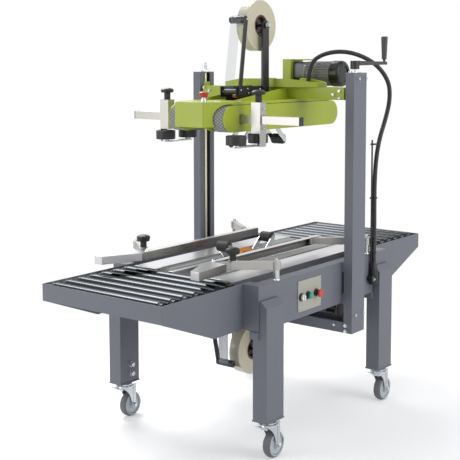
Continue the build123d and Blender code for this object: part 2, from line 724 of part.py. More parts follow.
# Head housing: deck plate with flanges, nose, side plates and the two wedge plates
with BuildPart() as head_housing:
    with BuildSketch(Plane.XY.offset(head_top_z - deck_flange)):
        with BuildLine():
            Polyline((head_front_x, -head_side_inner_y), (shoulder_x, -shoulder_y), (head_rear_x, -shoulder_y),
                     (head_rear_x, shoulder_y), (shoulder_x, shoulder_y), (head_front_x, head_side_inner_y),
                     close=True)
        make_face()
    extrude(amount=deck_flange)
    with BuildSketch(Plane.XY.offset(head_top_z - deck_flange)):
        with BuildLine():
            Polyline((head_front_x, -head_side_inner_y), (shoulder_x, -shoulder_y), (head_rear_x, -shoulder_y),
                     (head_rear_x, shoulder_y), (shoulder_x, shoulder_y), (head_front_x, head_side_inner_y),
                     close=True)
        make_face()
        offset(amount=-head_sheet, kind=Kind.INTERSECTION, mode=Mode.REPLACE)
    extrude(amount=deck_flange - head_sheet, mode=Mode.SUBTRACT)
    with BuildSketch(Plane.XZ.offset(-head_side_inner_y - head_side_wall)):
        with BuildLine():
            Polyline((head_front_x, head_top_z - head_sheet), (head_front_x, nose_bottom_z),
                     (nose_low_x, nose_low_z), (nose_low_x + 40, head_bottom_z), (head_rear_x, head_bottom_z),
                     (head_rear_x, head_top_z - head_sheet), close=True)
        make_face()
    extrude(amount=2 * (head_side_inner_y + head_side_wall))
    block((head_front_x + head_sheet, head_rear_x - head_sheet), (-head_side_inner_y, head_side_inner_y),
          (nose_low_z - 1, head_top_z - head_sheet), mode=Mode.SUBTRACT)
    block((cheek_front_x, upper_roll_x + 90), (-head_side_inner_y + 18, head_side_inner_y - 18),
          (head_top_z - head_sheet, head_top_z), mode=Mode.SUBTRACT)
    cheek_root_y = head_side_inner_y + head_side_wall
    for side in (-1, 1):
        with BuildSketch(Plane.XY.offset(nose_bottom_z)):
            with BuildLine():
                Polyline((head_front_x, side * head_side_inner_y), (shoulder_x, side * shoulder_y),
                         (shoulder_x, side * (shoulder_y - head_sheet)),
                         (head_front_x + head_sheet, side * head_side_inner_y), close=True)
            make_face()
        extrude(amount=head_top_z - deck_flange - nose_bottom_z)
        cross_rod(upper_pulley_front_x, upper_belt_z, sorted((side * cheek_root_y, side * shoulder_y)),
                  2 * (upper_belt_radius + 4), mode=Mode.SUBTRACT)
    with BuildSketch(Plane.XZ.offset(wedge_inner_y)):
        with BuildLine():
            Polyline((wedge_front_x, head_top_z), (arm_front_x, head_top_z), (arm_front_x, wedge_top_z), close=True)
        make_face()
    extrude(amount=wedge_wall)
    with BuildSketch(Plane.XZ.offset(-wedge_inner_y - wedge_wall)):
        with BuildLine():
            Polyline((wedge_front_x, head_top_z), (arm_front_x, head_top_z), (arm_front_x, wedge_top_z), close=True)
        make_face()
    extrude(amount=wedge_wall)
    block((bar_x - bar_width / 2, bar_x + bar_width / 2), (-bar_half_length, bar_half_length),
          (bar_bottom_z, bar_top_z), mode=Mode.SUBTRACT)
    upright_rod(stop_button_x, stop_button_y, (head_top_z, head_top_z + stop_collar_height - stop_travel - 0.3),
                stop_collar)
    upright_rod(stop_button_x, stop_button_y, (head_top_z, head_top_z + stop_collar_height),
                stop_stem + 2 * side_gap, mode=Mode.SUBTRACT)
head_housing.part.label = "head_housing"
export_step(head_housing.part, "parts/head_housing.step")

# Upper belts: two hollow loops over pulleys with their axles
with BuildPart() as upper_belts:
    with BuildSketch(Plane.XZ.offset(belt_inner_y)):
        with Locations((upper_belt_mid_x, upper_belt_z)):
            SlotCenterToCenter(upper_belt_span, 2 * upper_belt_radius)
            SlotCenterToCenter(upper_belt_span, 2 * (upper_belt_radius - belt_thickness), mode=Mode.SUBTRACT)
    extrude(amount=belt_width)
    for pulley_x in (upper_pulley_front_x, upper_pulley_rear_x):
        cross_rod(pulley_x, upper_belt_z, (-belt_outer_y, -belt_inner_y),
                  2 * (upper_belt_radius - belt_thickness))
        cross_rod(pulley_x, upper_belt_z, (-guard_inner_y, -head_side_inner_y - head_side_wall), belt_axle)
    mirror(about=Plane.XZ)
upper_belts.part.label = "upper_belts"
export_step(upper_belts.part, "parts/upper_belts.step")

# Belt guards: long plates with round ends outside the upper belts, pierced for the press bar
with BuildPart() as belt_guards:
    with BuildSketch(Plane.XZ.offset(guard_inner_y)):
        with Locations((upper_belt_mid_x, upper_belt_z)):
            SlotCenterToCenter(upper_belt_span, 2 * upper_belt_radius)
        with Locations((bar_x, bar_mid_z)):
            Rectangle(bar_width, bar_height, mode=Mode.SUBTRACT)
    extrude(amount=guard_wall)
    mirror(about=Plane.XZ)
belt_guards.part.label = "belt_guards"
export_step(belt_guards.part, "parts/belt_guards.step")

# Cross arm with a slider at each end, whose neck runs in the slot of the column
with BuildPart() as cross_arm:
    block((arm_front_x, arm_back_x), (-arm_half_length, arm_half_length), (head_top_z, arm_top_z))
    block((column_x - neck_width / 2, column_x + neck_width / 2),
          (-column_inner_y - column_wall - nut_clearance, -arm_half_length), (head_top_z, arm_top_z))
    nut_mid = (head_top_z + arm_top_z) / 2
    block((column_x - neck_width / 2, column_x + neck_width / 2),
          (-column_inner_y - column_wall - nut_clearance, -column_inner_y),
          (nut_mid - nut_height / 2, nut_mid + nut_height / 2))
    block((column_left + column_wall + nut_clearance,
           column_left + column_width - column_wall - nut_clearance),
          (-column_outer_y + column_wall + nut_clearance, -column_inner_y - column_wall - nut_clearance),
          (nut_mid - nut_height / 2, nut_mid + nut_height / 2))
    upright_rod(column_x, -screw_y, (nut_mid - nut_height, nut_mid + nut_height),
                screw_diameter + 2 * pivot_fit, mode=Mode.SUBTRACT)
    mirror(about=Plane.XZ)
cross_arm.part.label = "cross_arm"
export_step(cross_arm.part, "parts/cross_arm.step")

# Motor platform: a tray on the cross arm whose flanges slope down towards its ends, with a low
# shelf at the back and the bent bracket of the gearbox
with BuildPart() as motor_platform:
    for inset, floor_z, mode in ((0, arm_top_z, Mode.ADD), (head_sheet, platform_floor_z, Mode.SUBTRACT)):
        with BuildSketch(Plane.XY.offset(floor_z)):
            with BuildLine():
                Polyline((platform_front_x, 0), (platform_front_x, platform_front_y),
                         (platform_corner_x, platform_y), (platform_end_x, platform_y),
                         (platform_back_x, platform_front_y), (platform_back_x, shelf_half_width),
                         (shelf_back_x, shelf_half_width), (shelf_back_x, 0), close=True)
            make_face()
            mirror(about=Plane.XZ)
            if inset:
                offset(amount=-inset, kind=Kind.INTERSECTION, mode=Mode.REPLACE)
        extrude(amount=platform_top_z - floor_z, mode=mode)
    for side in (-1, 1):
        with BuildSketch(Plane.YZ.offset(platform_front_x)):
            with BuildLine():
                Polyline((side * platform_front_y, platform_top_z), (side * platform_y, platform_top_z),
                         (side * platform_y, platform_top_z - platform_droop), close=True)
            make_face()
        extrude(amount=platform_back_x - platform_front_x, mode=Mode.SUBTRACT)
    block((platform_back_x, shelf_back_x), (-shelf_half_width, shelf_half_width),
          (arm_top_z + shelf_flange, platform_top_z), mode=Mode.SUBTRACT)
    bracket_x = (motor_x - bracket_half_width, motor_x + bracket_half_width)
    bracket_top_z = arm_top_z + bracket_height
    block(bracket_x, (gearbox_start_y, gearbox_start_y + bracket_depth), (platform_floor_z, bracket_top_z))
    block((bracket_x[0] + bracket_wall, bracket_x[1]),
          (gearbox_start_y + bracket_wall, gearbox_start_y + bracket_depth - bracket_wall),
          (platform_floor_z, bracket_top_z - bracket_wall), mode=Mode.SUBTRACT)
    block((gearbox_front_x, bracket_x[1]), (gearbox_start_y - bracket_hood, gearbox_start_y),
          (bracket_top_z - bracket_wall, bracket_top_z))
motor_platform.part.label = "motor_platform"
export_step(motor_platform.part, "parts/motor_platform.step")

# Motor: gearbox, finned body and fan cover along Y
with BuildPart() as motor:
    gear_motor(motor_x, motor_z, gearbox_start_y, gearbox_front_x, gearbox_bottom_z)
motor.part.label = "motor"
export_step(motor.part, "parts/motor.step")

# Press bar through the head, with a cap on each end
with BuildPart() as press_bar:
    block((bar_x - bar_width / 2, bar_x + bar_width / 2), (-bar_half_length, bar_half_length),
          (bar_bottom_z, bar_top_z))
press_bar.part.label = "press_bar"
export_step(press_bar.part, "parts/press_bar.step")

# Press blocks: a tube on the bar with its clamp knob, whose outer wall reaches down to a
# plate with two rollers on pins
press_sets = (("near", -1, near_block_y, near_press_x, -1), ("far", 1, far_block_y, far_press_x, 1))
for side_name, side, block_y, first_x, step in press_sets:
    with BuildPart() as press_block:
        block((bar_x - block_width / 2, bar_x + block_width / 2),
              (block_y - block_length / 2, block_y + block_length / 2), (block_bottom_z, block_top_z))
        block((bar_x - bar_width / 2 - bar_clearance, bar_x + bar_width / 2 + bar_clearance),
              (block_y - block_length, block_y + block_length),
              (bar_bottom_z - bar_clearance, bar_top_z + bar_clearance), mode=Mode.SUBTRACT)
        fluted_knob(bar_x, block_y, block_top_z, press_knob_stem_height, press_knob_height)
        last_x = first_x + step * press_roller_pitch
        press_y = block_y - side * press_roller_inset
        outer_y = block_y + side * block_length / 2
        roller_bottom = press_roller_top_z - press_roller_height
        plate_z = roller_bottom - press_plate_gap - press_plate
        block((bar_x - block_width / 2, bar_x + block_width / 2),
              sorted((outer_y, outer_y - side * press_wall)), (plate_z, block_bottom_z))
        block((bar_x - block_width / 2, bar_x + block_width / 2), sorted((outer_y, press_y)),
              (plate_z, plate_z + press_plate))
        with BuildSketch(Plane.XY.offset(plate_z)):
            with Locations(((first_x + last_x) / 2, press_y)):
                SlotCenterToCenter(press_roller_pitch, press_plate_width)
        extrude(amount=press_plate)
        for press_x in (first_x, last_x):
            upright_rod(press_x, press_y, (plate_z, press_roller_top_z + 1), tape_pin)
            upright_rod(press_x, press_y, (plate_z, roller_bottom), 2 * tape_pin)
            turned((press_x, press_y, roller_bottom), (0, 0, 1), (1, 0, 0),
                   ((0, 0), (press_roller_diameter / 2, 0, 3),
                    (press_roller_diameter / 2, press_roller_height, 3), (0, press_roller_height)))
            turned((press_x, press_y, press_roller_top_z), (0, 0, 1), (1, 0, 0),
                   ((tape_pin, -4), (press_roller_diameter / 2 - 7, -4), (press_roller_diameter / 2 - 7, 1),
                    (tape_pin, 1)), mode=Mode.SUBTRACT)
    press_block.part.label = f"{side_name}_press_block"
    export_step(press_block.part, f"parts/{side_name}_press_block.step")

# Tape heads: side plates on both sides of the sprung arms, which carry the wiping rollers
upper_front_pivot_x = upper_front_roller_x + tape_arm_x
upper_rear_pivot_x = upper_rear_roller_x - tape_arm_x
upper_pivot_z = upper_roller_z + tape_arm_z
lower_front_pivot_x = lower_front_roller_x + tape_arm_x
lower_rear_pivot_x = lower_rear_roller_x - tape_arm_x
lower_pivot_z = lower_roller_z - tape_arm_z
tape_frame_outer_y = tape_frame_inner_y + tape_frame_wall

plate_top_z = head_top_z + plate_above_deck
cheek_top_z = head_top_z + cheek_height
cheek_rod_z = (plate_top_z + cheek_top_z) / 2
with BuildPart() as upper_tape_head:
    for side in (-1, 1):
        with BuildSketch(Plane.XZ.offset(side * tape_frame_inner_y)):
            with BuildLine():
                Polyline((plate_front_x, upper_pivot_z - plate_below_pivot),
                         (plate_rear_x, upper_pivot_z - plate_below_pivot), (plate_rear_x, plate_top_z),
                         (cheek_rear_x + lug_length, plate_top_z), (cheek_rear_x, cheek_top_z),
                         (cheek_front_x, cheek_top_z), (cheek_front_x, plate_top_z), (plate_front_x, plate_top_z),
                         close=True)
            make_face()
        extrude(amount=side * tape_frame_wall)
        for lug_x in (plate_front_x + lug_length / 2, plate_rear_x - 1.25 * lug_length):
            block((lug_x, lug_x + lug_length), sorted((side * tape_frame_outer_y, side * head_side_inner_y)),
                  (head_top_z - lug_drop - lug_length, head_top_z - lug_drop))
    for rod_x, rod_z in ((cheek_roller_x, cheek_rod_z), (cheek_rear_x - tape_pin, cheek_rod_z),
                         (upper_roll_x - 30, head_top_z + tape_pin), (upper_front_pivot_x, upper_pivot_z),
                         (upper_rear_pivot_x, upper_pivot_z)):
        cross_rod(rod_x, rod_z, (-tape_frame_inner_y, tape_frame_inner_y), tape_pin)
    cross_rod(cheek_roller_x, cheek_rod_z, (-tape_frame_inner_y + 1, tape_frame_inner_y - 1),
              cheek_roller_diameter)
upper_tape_head.part.label = "upper_tape_head"
export_step(upper_tape_head.part, "parts/upper_tape_head.step")

lower_plate_z = box_bottom + lower_plate_lift
lower_bar_top_z = box_bottom + lower_bar_rise
low_stand_y = -stand_bar_y - stand_bar_thick
with BuildPart() as lower_tape_head:
    for side in (-1, 1):
        with BuildSketch(Plane.XZ.offset(side * tape_frame_inner_y)):
            with BuildLine():
                Polyline((lower_plate_front_x, lower_plate_z), (lower_plate_rear_x, lower_plate_z),
                         (lower_plate_rear_x, lower_pivot_z), (lower_plate_rear_x - 20, lower_pivot_z + 20),
                         (lower_plate_front_x + 20, lower_pivot_z + 20), (lower_plate_front_x, lower_pivot_z),
                         close=True)
            make_face()
        extrude(amount=side * tape_frame_wall)
        for lug_x in (lower_plate_front_x + lug_length / 2, lower_plate_rear_x - 1.5 * lug_length):
            block((lug_x, lug_x + lug_length), sorted((side * tape_frame_outer_y, side * strip_inner_y)),
                  (table_top - lug_drop - lug_length, table_top - lug_drop))
    for rod_x, rod_z in ((lower_plate_front_x + 15, lower_plate_z + 15),
                         (lower_plate_rear_x - 15, lower_plate_z + 15),
                         (lower_front_pivot_x, lower_pivot_z), (lower_rear_pivot_x, lower_pivot_z)):
        cross_rod(rod_x, rod_z, (-tape_frame_inner_y, tape_frame_inner_y), tape_pin)
    block((blade_post_x - tape_pin, blade_post_x + tape_pin), (-tape_frame_inner_y, tape_frame_inner_y),
          (lower_bar_top_z, lower_bar_top_z + 20))
    block((blade_post_x - blade_post_width / 2, blade_post_x + blade_post_width / 2),
          (-tape_pin / 2, tape_pin / 2), (lower_bar_top_z, blade_top_z - blade_depth))
    with BuildSketch(Plane.YZ.offset(blade_front_x)):
        with BuildLine():
            Polyline((-blade_half_width, blade_top_z), (-blade_half_width / 2, blade_top_z - blade_depth),
                     (blade_half_width / 2, blade_top_z - blade_depth), (blade_half_width, blade_top_z),
                     (blade_half_width - 1.4 * blade_sheet, blade_top_z),
                     (blade_half_width / 2 - 0.4 * blade_sheet, blade_top_z - blade_depth + blade_sheet),
                     (-blade_half_width / 2 + 0.4 * blade_sheet, blade_top_z - blade_depth + blade_sheet),
                     (-blade_half_width + 1.4 * blade_sheet, blade_top_z), close=True)
        make_face()
    extrude(amount=blade_rear_x - blade_front_x)
    block((lower_roll_x - stand_bar_width / 2, lower_roll_x + stand_bar_width / 2), (low_stand_y, -stand_bar_y),
          (lower_roll_z, lower_bar_top_z))
    cross_rod(lower_roll_x, lower_roll_z, (low_stand_y, -stand_bar_y), stand_bar_width)
    cross_rod(lower_roll_x, lower_roll_z, (low_stand_y - 6, tape_width / 2 + 6), tape_pin)
    with BuildSketch(Plane.XZ.offset(-stand_bar_y - strip_arm_thick)):
        with BuildLine():
            Polyline((lower_guide_knee_x, lower_bar_top_z), (lower_guide_knee_x, lower_guide_knee_z),
                     (lower_guide_x, lower_guide_z))
        trace(line_width=strip_arm_width)
    extrude(amount=strip_arm_thick)
    block((lower_guide_knee_x, lower_plate_front_x + 10), (stand_bar_y, stand_bar_y + strip_arm_thick),
          (lower_plate_z, lower_bar_top_z))
    turned((lower_guide_x, stand_bar_y + strip_arm_thick, lower_guide_z), (0, -1, 0), (1, 0, 0),
           ((0, 0), (lower_guide_diameter / 2, 0, 2), (lower_guide_diameter / 2, lower_guide_length, 3),
            (5, lower_guide_length), (5, lower_guide_length - 6), (0, lower_guide_length - 6)))
lower_tape_head.part.label = "lower_tape_head"
export_step(lower_tape_head.part, "parts/lower_tape_head.step")

# Stand of the upper roll, with the slanted arm of the strip's guide roller
with BuildPart() as upper_tape_stand:
    stand_y = (-tape_frame_outer_y - stand_bar_thick, -tape_frame_outer_y)
    guide_roller_z = upper_roll_z + lug_length
    block((upper_roll_x - stand_bar_width / 2, upper_roll_x + stand_bar_width / 2), stand_y,
          (head_top_z + plate_above_deck + 2, upper_roll_z))
    cross_rod(upper_roll_x, upper_roll_z, stand_y, stand_bar_width)
    cross_rod(upper_roll_x, upper_roll_z, (stand_y[0] - 6, tape_width / 2 + 6), tape_pin)
    with BuildSketch(Plane.XZ.offset(tape_frame_outer_y)):
        with BuildLine():
            Line((cheek_front_x + lug_length, head_top_z + lug_length), (strip_guide_x, guide_roller_z))
        trace(line_width=strip_arm_width)
    extrude(amount=strip_arm_thick)
    turned((strip_guide_x + guide_roller_shift, -tape_frame_outer_y, guide_roller_z), (0, 1, 0), (1, 0, 0),
           ((0, 0), (guide_roller_diameter / 2, 0, 3),
            (guide_roller_diameter / 2, 2 * tape_frame_outer_y - 3, 3), (0, 2 * tape_frame_outer_y - 3)))
upper_tape_stand.part.label = "upper_tape_stand"
export_step(upper_tape_stand.part, "parts/upper_tape_stand.step")

# Tape rolls: wound tape on a core and a hub, which turns on the pin of the stand
rolls = (("upper_tape_roll", upper_roll_x, upper_roll_z), ("lower_tape_roll", lower_roll_x, lower_roll_z))
roll_bore = tape_pin / 2 + pivot_fit
for roll_name, roll_x, roll_z in rolls:
    half_outline = ((roll_bore + 8, 0.4 * tape_width), (roll_bore + 8, roll_hub_width / 2),
                    (roll_hub / 2, roll_hub_width / 2), (roll_hub / 2, tape_width / 2),
                    (tape_roll_diameter / 2, tape_width / 2, 1))
    mirrored = tuple((radius, -height, *corner) for radius, height, *corner in reversed(half_outline))
    with BuildPart() as tape_roll:
        turned((roll_x, 0, roll_z), (0, 1, 0), (1, 0, 0),
               ((roll_bore, 0.4 * tape_width), *half_outline, *mirrored, (roll_bore, -0.4 * tape_width)))
    tape_roll.part.label = roll_name
    export_step(tape_roll.part, f"parts/{roll_name}.step")

# Sprung roller arms: two links with a boss at the pivot and a wiping roller at the end
roller_arms = (("upper_front", upper_front_roller_x, upper_roller_z, upper_front_pivot_x, upper_pivot_z),
               ("upper_rear", upper_rear_roller_x, upper_roller_z, upper_rear_pivot_x, upper_pivot_z),
               ("lower_front", lower_front_roller_x, lower_roller_z, lower_front_pivot_x, lower_pivot_z),
               ("lower_rear", lower_rear_roller_x, lower_roller_z, lower_rear_pivot_x, lower_pivot_z))
for arm_name, wiper_x, wiper_z, pivot_x, pivot_z in roller_arms:
    with BuildPart() as roller_arm:
        link_turn = degrees(atan2(wiper_z - pivot_z, wiper_x - pivot_x))
        with BuildSketch(Plane.XZ.offset(tape_arm_y)):
            with Locations(Location(((wiper_x + pivot_x) / 2, (wiper_z + pivot_z) / 2, 0), (0, 0, link_turn))):
                SlotCenterToCenter(hypot(wiper_x - pivot_x, wiper_z - pivot_z), 22)
        extrude(amount=tape_arm_wall)
        cross_rod(pivot_x, pivot_z, (-tape_frame_inner_y + 2, -tape_arm_y), 26)
        mirror(about=Plane.XZ)
        turned((wiper_x, -tape_arm_y + 1, wiper_z), (0, 1, 0), (1, 0, 0),
               ((0, 0), (tape_roller_diameter / 2, 0, 4), (tape_roller_diameter / 2, 2 * tape_arm_y - 2, 4),
                (0, 2 * tape_arm_y - 2)))
        cross_rod(wiper_x, wiper_z, (-tape_arm_y, tape_arm_y), 10)
        cross_rod(pivot_x, pivot_z, (-2 * tape_arm_y, 2 * tape_arm_y), tape_pin + 2 * pivot_fit,
                  mode=Mode.SUBTRACT)
    roller_arm.part.label = f"{arm_name}_roller_arm"
    export_step(roller_arm.part, f"parts/{arm_name}_roller_arm.step")

# Emergency stop on the nose of the head
with BuildPart() as emergency_stop:
    stop_base = head_top_z + stop_collar_height
    turned((stop_button_x, stop_button_y, stop_base), (0, 0, 1), (1, 0, 0),
           ((0, 0), (stop_button_foot / 2, 0, 1), (stop_button / 2 - 2, stop_head_height - 8),
            (stop_button / 2, stop_head_height - 6, 1), (stop_button / 2, stop_head_height - 3, 1),
            (stop_button / 2 - 6, stop_head_height, 3), (0, stop_head_height)))
    upright_rod(stop_button_x, stop_button_y, (head_top_z + stop_travel + 0.5, stop_base), stop_stem)
emergency_stop.part.label = "emergency_stop"
export_step(emergency_stop.part, "parts/emergency_stop.step")

# Gland on the near wall, and the conduit that loops from it to the motor platform
with BuildPart() as conduit_gland:
    with BuildSketch(Plane.XY.offset(gland_top_z - gland_height)):
        with Locations((gland_x, gland_y)):
            Circle(9)
    with BuildSketch(Plane.XY.offset(gland_top_z)):
        with Locations((gland_x, gland_y)):
            Circle(13)
    loft()
    block((gland_x - 9, gland_x + 9), (gland_y, -box_wall_y), (gland_top_z - gland_height, gland_top_z - 30))
    with BuildSketch(Plane.XY.offset(gland_top_z - 14)):
        with Locations((gland_x, gland_y)):
            RegularPolygon(15, 6)
    extrude(amount=10)
conduit_gland.part.label = "conduit_gland"
export_step(conduit_gland.part, "parts/conduit_gland.step")

conduit_route = [(212, -117, 1337), (212, -117, 1424), (240, -174, 1472), (300, -257, 1480), (364, -340, 1436),
                 (403, -388, 1360), (415, -388, 1280), (400, -376, 1200), (357, -374, 1125), (332, -373, 1045),
                 (324.5, -371.5, 955), (323, -372, 860), (324.5, -372.5, 765), (324, -372, 676), (324, -372, 590)]
route_points = [Vector(*point) for point in conduit_route]
bend_radii = []
for before, corner, after in zip(route_points, route_points[1:], route_points[2:]):
    run_in = corner - before
    run_out = after - corner
    half_turn = radians(run_in.get_angle(run_out)) / 2
    bend_radii.append(0.45 * min(run_in.length, run_out.length) / tan(half_turn))
with BuildPart() as conduit:
    with BuildLine() as conduit_line:
        FilletPolyline(*route_points, radius=bend_radii)
    conduit_start = Plane(origin=conduit_line.line @ 0, z_dir=conduit_line.line % 0)
    with BuildSketch(conduit_start):
        Circle(conduit_diameter / 2)
    sweep(path=conduit_line.line)
conduit.part.label = "conduit"
export_step(conduit.part, "parts/conduit.step")
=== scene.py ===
import json
from math import atan2, pi, radians

import bmesh
import bpy
from bpy.props import FloatProperty, FloatVectorProperty, PointerProperty
from bpy.types import NodeSocket, Operator, Panel, PropertyGroup
from mathutils import Matrix, Vector

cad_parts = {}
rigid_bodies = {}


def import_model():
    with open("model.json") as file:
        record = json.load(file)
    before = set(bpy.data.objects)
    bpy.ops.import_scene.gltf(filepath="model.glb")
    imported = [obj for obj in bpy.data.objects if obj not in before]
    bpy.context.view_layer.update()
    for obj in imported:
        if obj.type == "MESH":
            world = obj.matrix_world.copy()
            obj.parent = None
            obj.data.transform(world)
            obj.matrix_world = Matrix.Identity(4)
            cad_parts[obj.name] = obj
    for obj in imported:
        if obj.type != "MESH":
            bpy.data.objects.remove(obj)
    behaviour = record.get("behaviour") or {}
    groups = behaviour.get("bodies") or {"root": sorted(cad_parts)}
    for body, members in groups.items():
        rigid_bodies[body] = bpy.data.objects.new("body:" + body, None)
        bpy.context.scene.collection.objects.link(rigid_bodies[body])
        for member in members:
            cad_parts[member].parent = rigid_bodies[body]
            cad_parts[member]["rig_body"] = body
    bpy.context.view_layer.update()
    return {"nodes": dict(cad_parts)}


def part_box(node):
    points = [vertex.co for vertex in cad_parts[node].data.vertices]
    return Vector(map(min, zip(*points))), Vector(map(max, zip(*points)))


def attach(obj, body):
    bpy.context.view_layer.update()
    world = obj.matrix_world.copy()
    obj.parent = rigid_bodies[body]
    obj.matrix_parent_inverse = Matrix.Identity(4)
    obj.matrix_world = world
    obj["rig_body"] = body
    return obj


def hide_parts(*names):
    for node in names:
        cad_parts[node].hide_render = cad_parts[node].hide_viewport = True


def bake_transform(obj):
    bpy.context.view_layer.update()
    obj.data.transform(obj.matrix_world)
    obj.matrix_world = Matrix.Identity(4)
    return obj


bl_info = {
    "name": "Carton sealer looks",
    "version": (1, 0, 0),
    "blender": (4, 5, 0),
    "location": "View3D > Sidebar > Carton sealer",
    "description": "Finishes, fasteners, belts, tape and conduit for the packed carton sealer",
    "category": "Object",
}

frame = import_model()
NODES = frame["nodes"]
SIDES = (("near", -1), ("far", 1))
BEDS = ("infeed", "outfeed")
ENDS = ("front", "rear")
ROLLERS_PER_BED = 7
MM = 0.001
UP, DOWN, NEAR, FAR, FRONT = (0, 0, 1), (0, 0, -1), (0, -1, 0), (0, 1, 0), (-1, 0, 0)

# Camera, and lamps as name, place, aim, size and watts
CAMERA_PLACE = (-3.25401, -2.42436, 1.43088)
CAMERA_YAW = radians(37.390)
CAMERA_PITCH = radians(5.188)
CAMERA_LENS = 78.596
CAMERA_SHIFT = (-0.0270, -0.1650)
LAMPS = (("key_lamp", (0.5, -4.4, 2.6), (0, 0, 0.8), (2.8, 2.8), 85),
         ("side_lamp", (-3.1, 1.35, 1.55), (0, 0, 1.2), (1.8, 2.4), 31),
         ("back_lamp", (0.8, 2.5, 3.6), (0, 0, 0.7), (2.4, 1.5), 120))

# Edges sharper than this are rounded and shaded as edges
CREASE = radians(32)
MACHINED_EDGE = 0.5 * MM
MOULDED_EDGE = 0.6 * MM
BELT_EDGE = 0.4 * MM
BOLT_EDGE = 0.3 * MM
SCREW_EDGE = 0.2 * MM

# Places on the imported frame
COLUMN_X = 0.145
SCREW_Y = 0.380
DECK_Z = 1.286
ARM_FRONT_X = 0.103
POST_XS = (-0.330, 0.310)
POST_Y = 0.345
CASTER_X = 0.3975
LEG_BOLT_X, LEG_BOLT_Y, LEG_BOLT_ZS = 0.3895, 0.3276, (0.188, 0.2245)
RAIL_SHIFT_X = -0.140
RAIL_PIVOT_Y = 0.164
KNOB_REACH = 0.69
STOP_PLACE = Vector((-0.375, -0.043))
PLATFORM_Z = 1.337
MOTOR_AXIS = (0.290, 1.3865)
BLOCK_BOTTOM_Z = 1.1695
ROLLER_BRACKET_Z = 1.1675
BLADE_GUARD_Z = 0.6716
UPPER_ROLL = (0.010, 1.580)
LOWER_ROLL = (-0.038, 0.268)
GLAND_FOOT = (0.324, -0.371, 0.522)
GLAND_BOLT = (0.3035, -0.384, 0.545)
ROD_X, ROD_Y, ROD_ENDS = 0.311, -0.366, (0.560, 1.118)
TIE_X, TIE_Y, TIE_ZS = 0.3245, -0.373, (1.098, 0.877, 0.652)
CONDUIT_ROUTE = (
    (0.212, -0.117, 1.337), (0.212, -0.117, 1.424), (0.240, -0.174, 1.472), (0.300, -0.257, 1.480),
    (0.364, -0.340, 1.436), (0.403, -0.388, 1.360), (0.415, -0.388, 1.280), (0.400, -0.376, 1.200),
    (0.357, -0.374, 1.125), (0.332, -0.373, 1.045), (0.3245, -0.3715, 0.955), (0.323, -0.372, 0.860),
    (0.3245, -0.3725, 0.765), (0.324, -0.372, 0.676), (0.324, -0.372, 0.590))

# Width of the tape and its paths in X and Z, from the roll round its guide roller to the head
TAPE_WIDTH = 48 * MM
UPPER_STRIP = ((-0.087, 1.6135), (-0.098, 1.6140), (-0.110, 1.6153), (-0.1165, 1.6138), (-0.1225, 1.6088),
               (-0.1252, 1.6018), (-0.1702, 1.3200), (-0.1690, 1.3140), (-0.1630, 1.3088))
LOWER_STRIP = ((-0.060, 0.1687), (-0.120, 0.2120), (-0.182, 0.2318), (-0.1950, 0.2293), (-0.2035, 0.2360),
               (-0.2052, 0.2440), (-0.2075, 0.4000), (-0.1600, 0.4860))


def linear(hex_code):
    """Turn an sRGB hex colour into the linear RGBA that shaders read."""
    parts = [int(hex_code[i:i + 2], 16) / 255 for i in (0, 2, 4)]
    return tuple(c / 12.92 if c <= 0.04045 else ((c + 0.055) / 1.055) ** 2.4 for c in parts) + (1.0,)


def colour(label, description, hex_code):
    """One colour setting of the sidebar."""
    return FloatVectorProperty(name=label, description=description, subtype="COLOR", size=4,
                               min=0, max=1, default=linear(hex_code))


def length(label, description, millimetres):
    """One length setting of the sidebar."""
    return FloatProperty(name=label, description=description, unit="LENGTH", subtype="DISTANCE",
                         min=0, default=millimetres * MM)


class SealerColours(PropertyGroup):
    """Colours of the paints, plastics and metals."""

    frame_paint: colour("Frame paint", "Powder coat of the table, legs and columns", "6C6F79")
    head_paint: colour("Head paint", "Enamel of the taping head", "A9B735")
    stainless: colour("Stainless", "Brushed sheet of the deck and guide rails", "CBCBCD")
    aluminium: colour("Aluminium", "Extruded bars, arms and blocks", "B2B0AC")
    zinc: colour("Zinc", "Plated bolts, forks and screws", "C6CBCE")
    # Far darker than real chrome: a painted dark reflection, with the lamps giving the bright stripes
    chrome: colour("Chrome", "Tubes of the bed rollers", "393C3F")
    screw: colour("Screw steel", "Yellow plated lead screws", "E6DFC8")
    black_paint: colour("Black paint", "Stands and side plates of the tape heads", "1E1D20")
    black_plastic: colour("Black plastic", "Knobs, caps and conduit", "191A1C")
    belt: colour("Belt", "Rough-top drive belts", "A3A5A4")
    motor: colour("Motor", "Cast motor body", "8C8C8C")
    gearbox: colour("Gearbox", "Cast gearbox", "585C61")
    panel: colour("Panel", "Plate of the control panel", "AEACA1")
    tape: colour("Tape", "Wound packing tape", "D3CDB4")
    tyre: colour("Tyre", "Rubber of the casters", "6A6B6E")


class SealerSizes(PropertyGroup):
    """Sizes of the small details."""

    sheet_edge: length("Sheet edge", "Rounding of bent and cut sheet", 0.8)
    tube_edge: length("Tube edge", "Rounding of the corners of square tubes", 2.0)
    bar_edge: length("Bar edge", "Rounding of bars and blocks", 0.9)
    thread_pitch: length("Thread pitch", "Pitch of the lead screws, coarser than real to show", 6.0)
    conduit: length("Conduit", "Outer diameter of the conduit", 19.0)
    conduit_ring: length("Conduit ring", "Spacing of the rings of the conduit", 4.4)
    belt_grip: length("Belt grip", "Spacing of the belt diamonds, coarser than real to show", 10.0)


def colours():
    return bpy.context.scene.sealer_colours


def sizes():
    return bpy.context.scene.sealer_sizes


# Materials

def add_node(tree, kind, inputs=None, **settings):
    """Add one shader node, with its settings, and give each input a value or a link."""
    made = tree.nodes.new("ShaderNode" + kind)
    for name, value in settings.items():
        setattr(made, name, value)
    for name, value in (inputs or {}).items():
        if isinstance(value, NodeSocket):
            tree.links.new(value, made.inputs[name])
        else:
            made.inputs[name].default_value = value
    return made


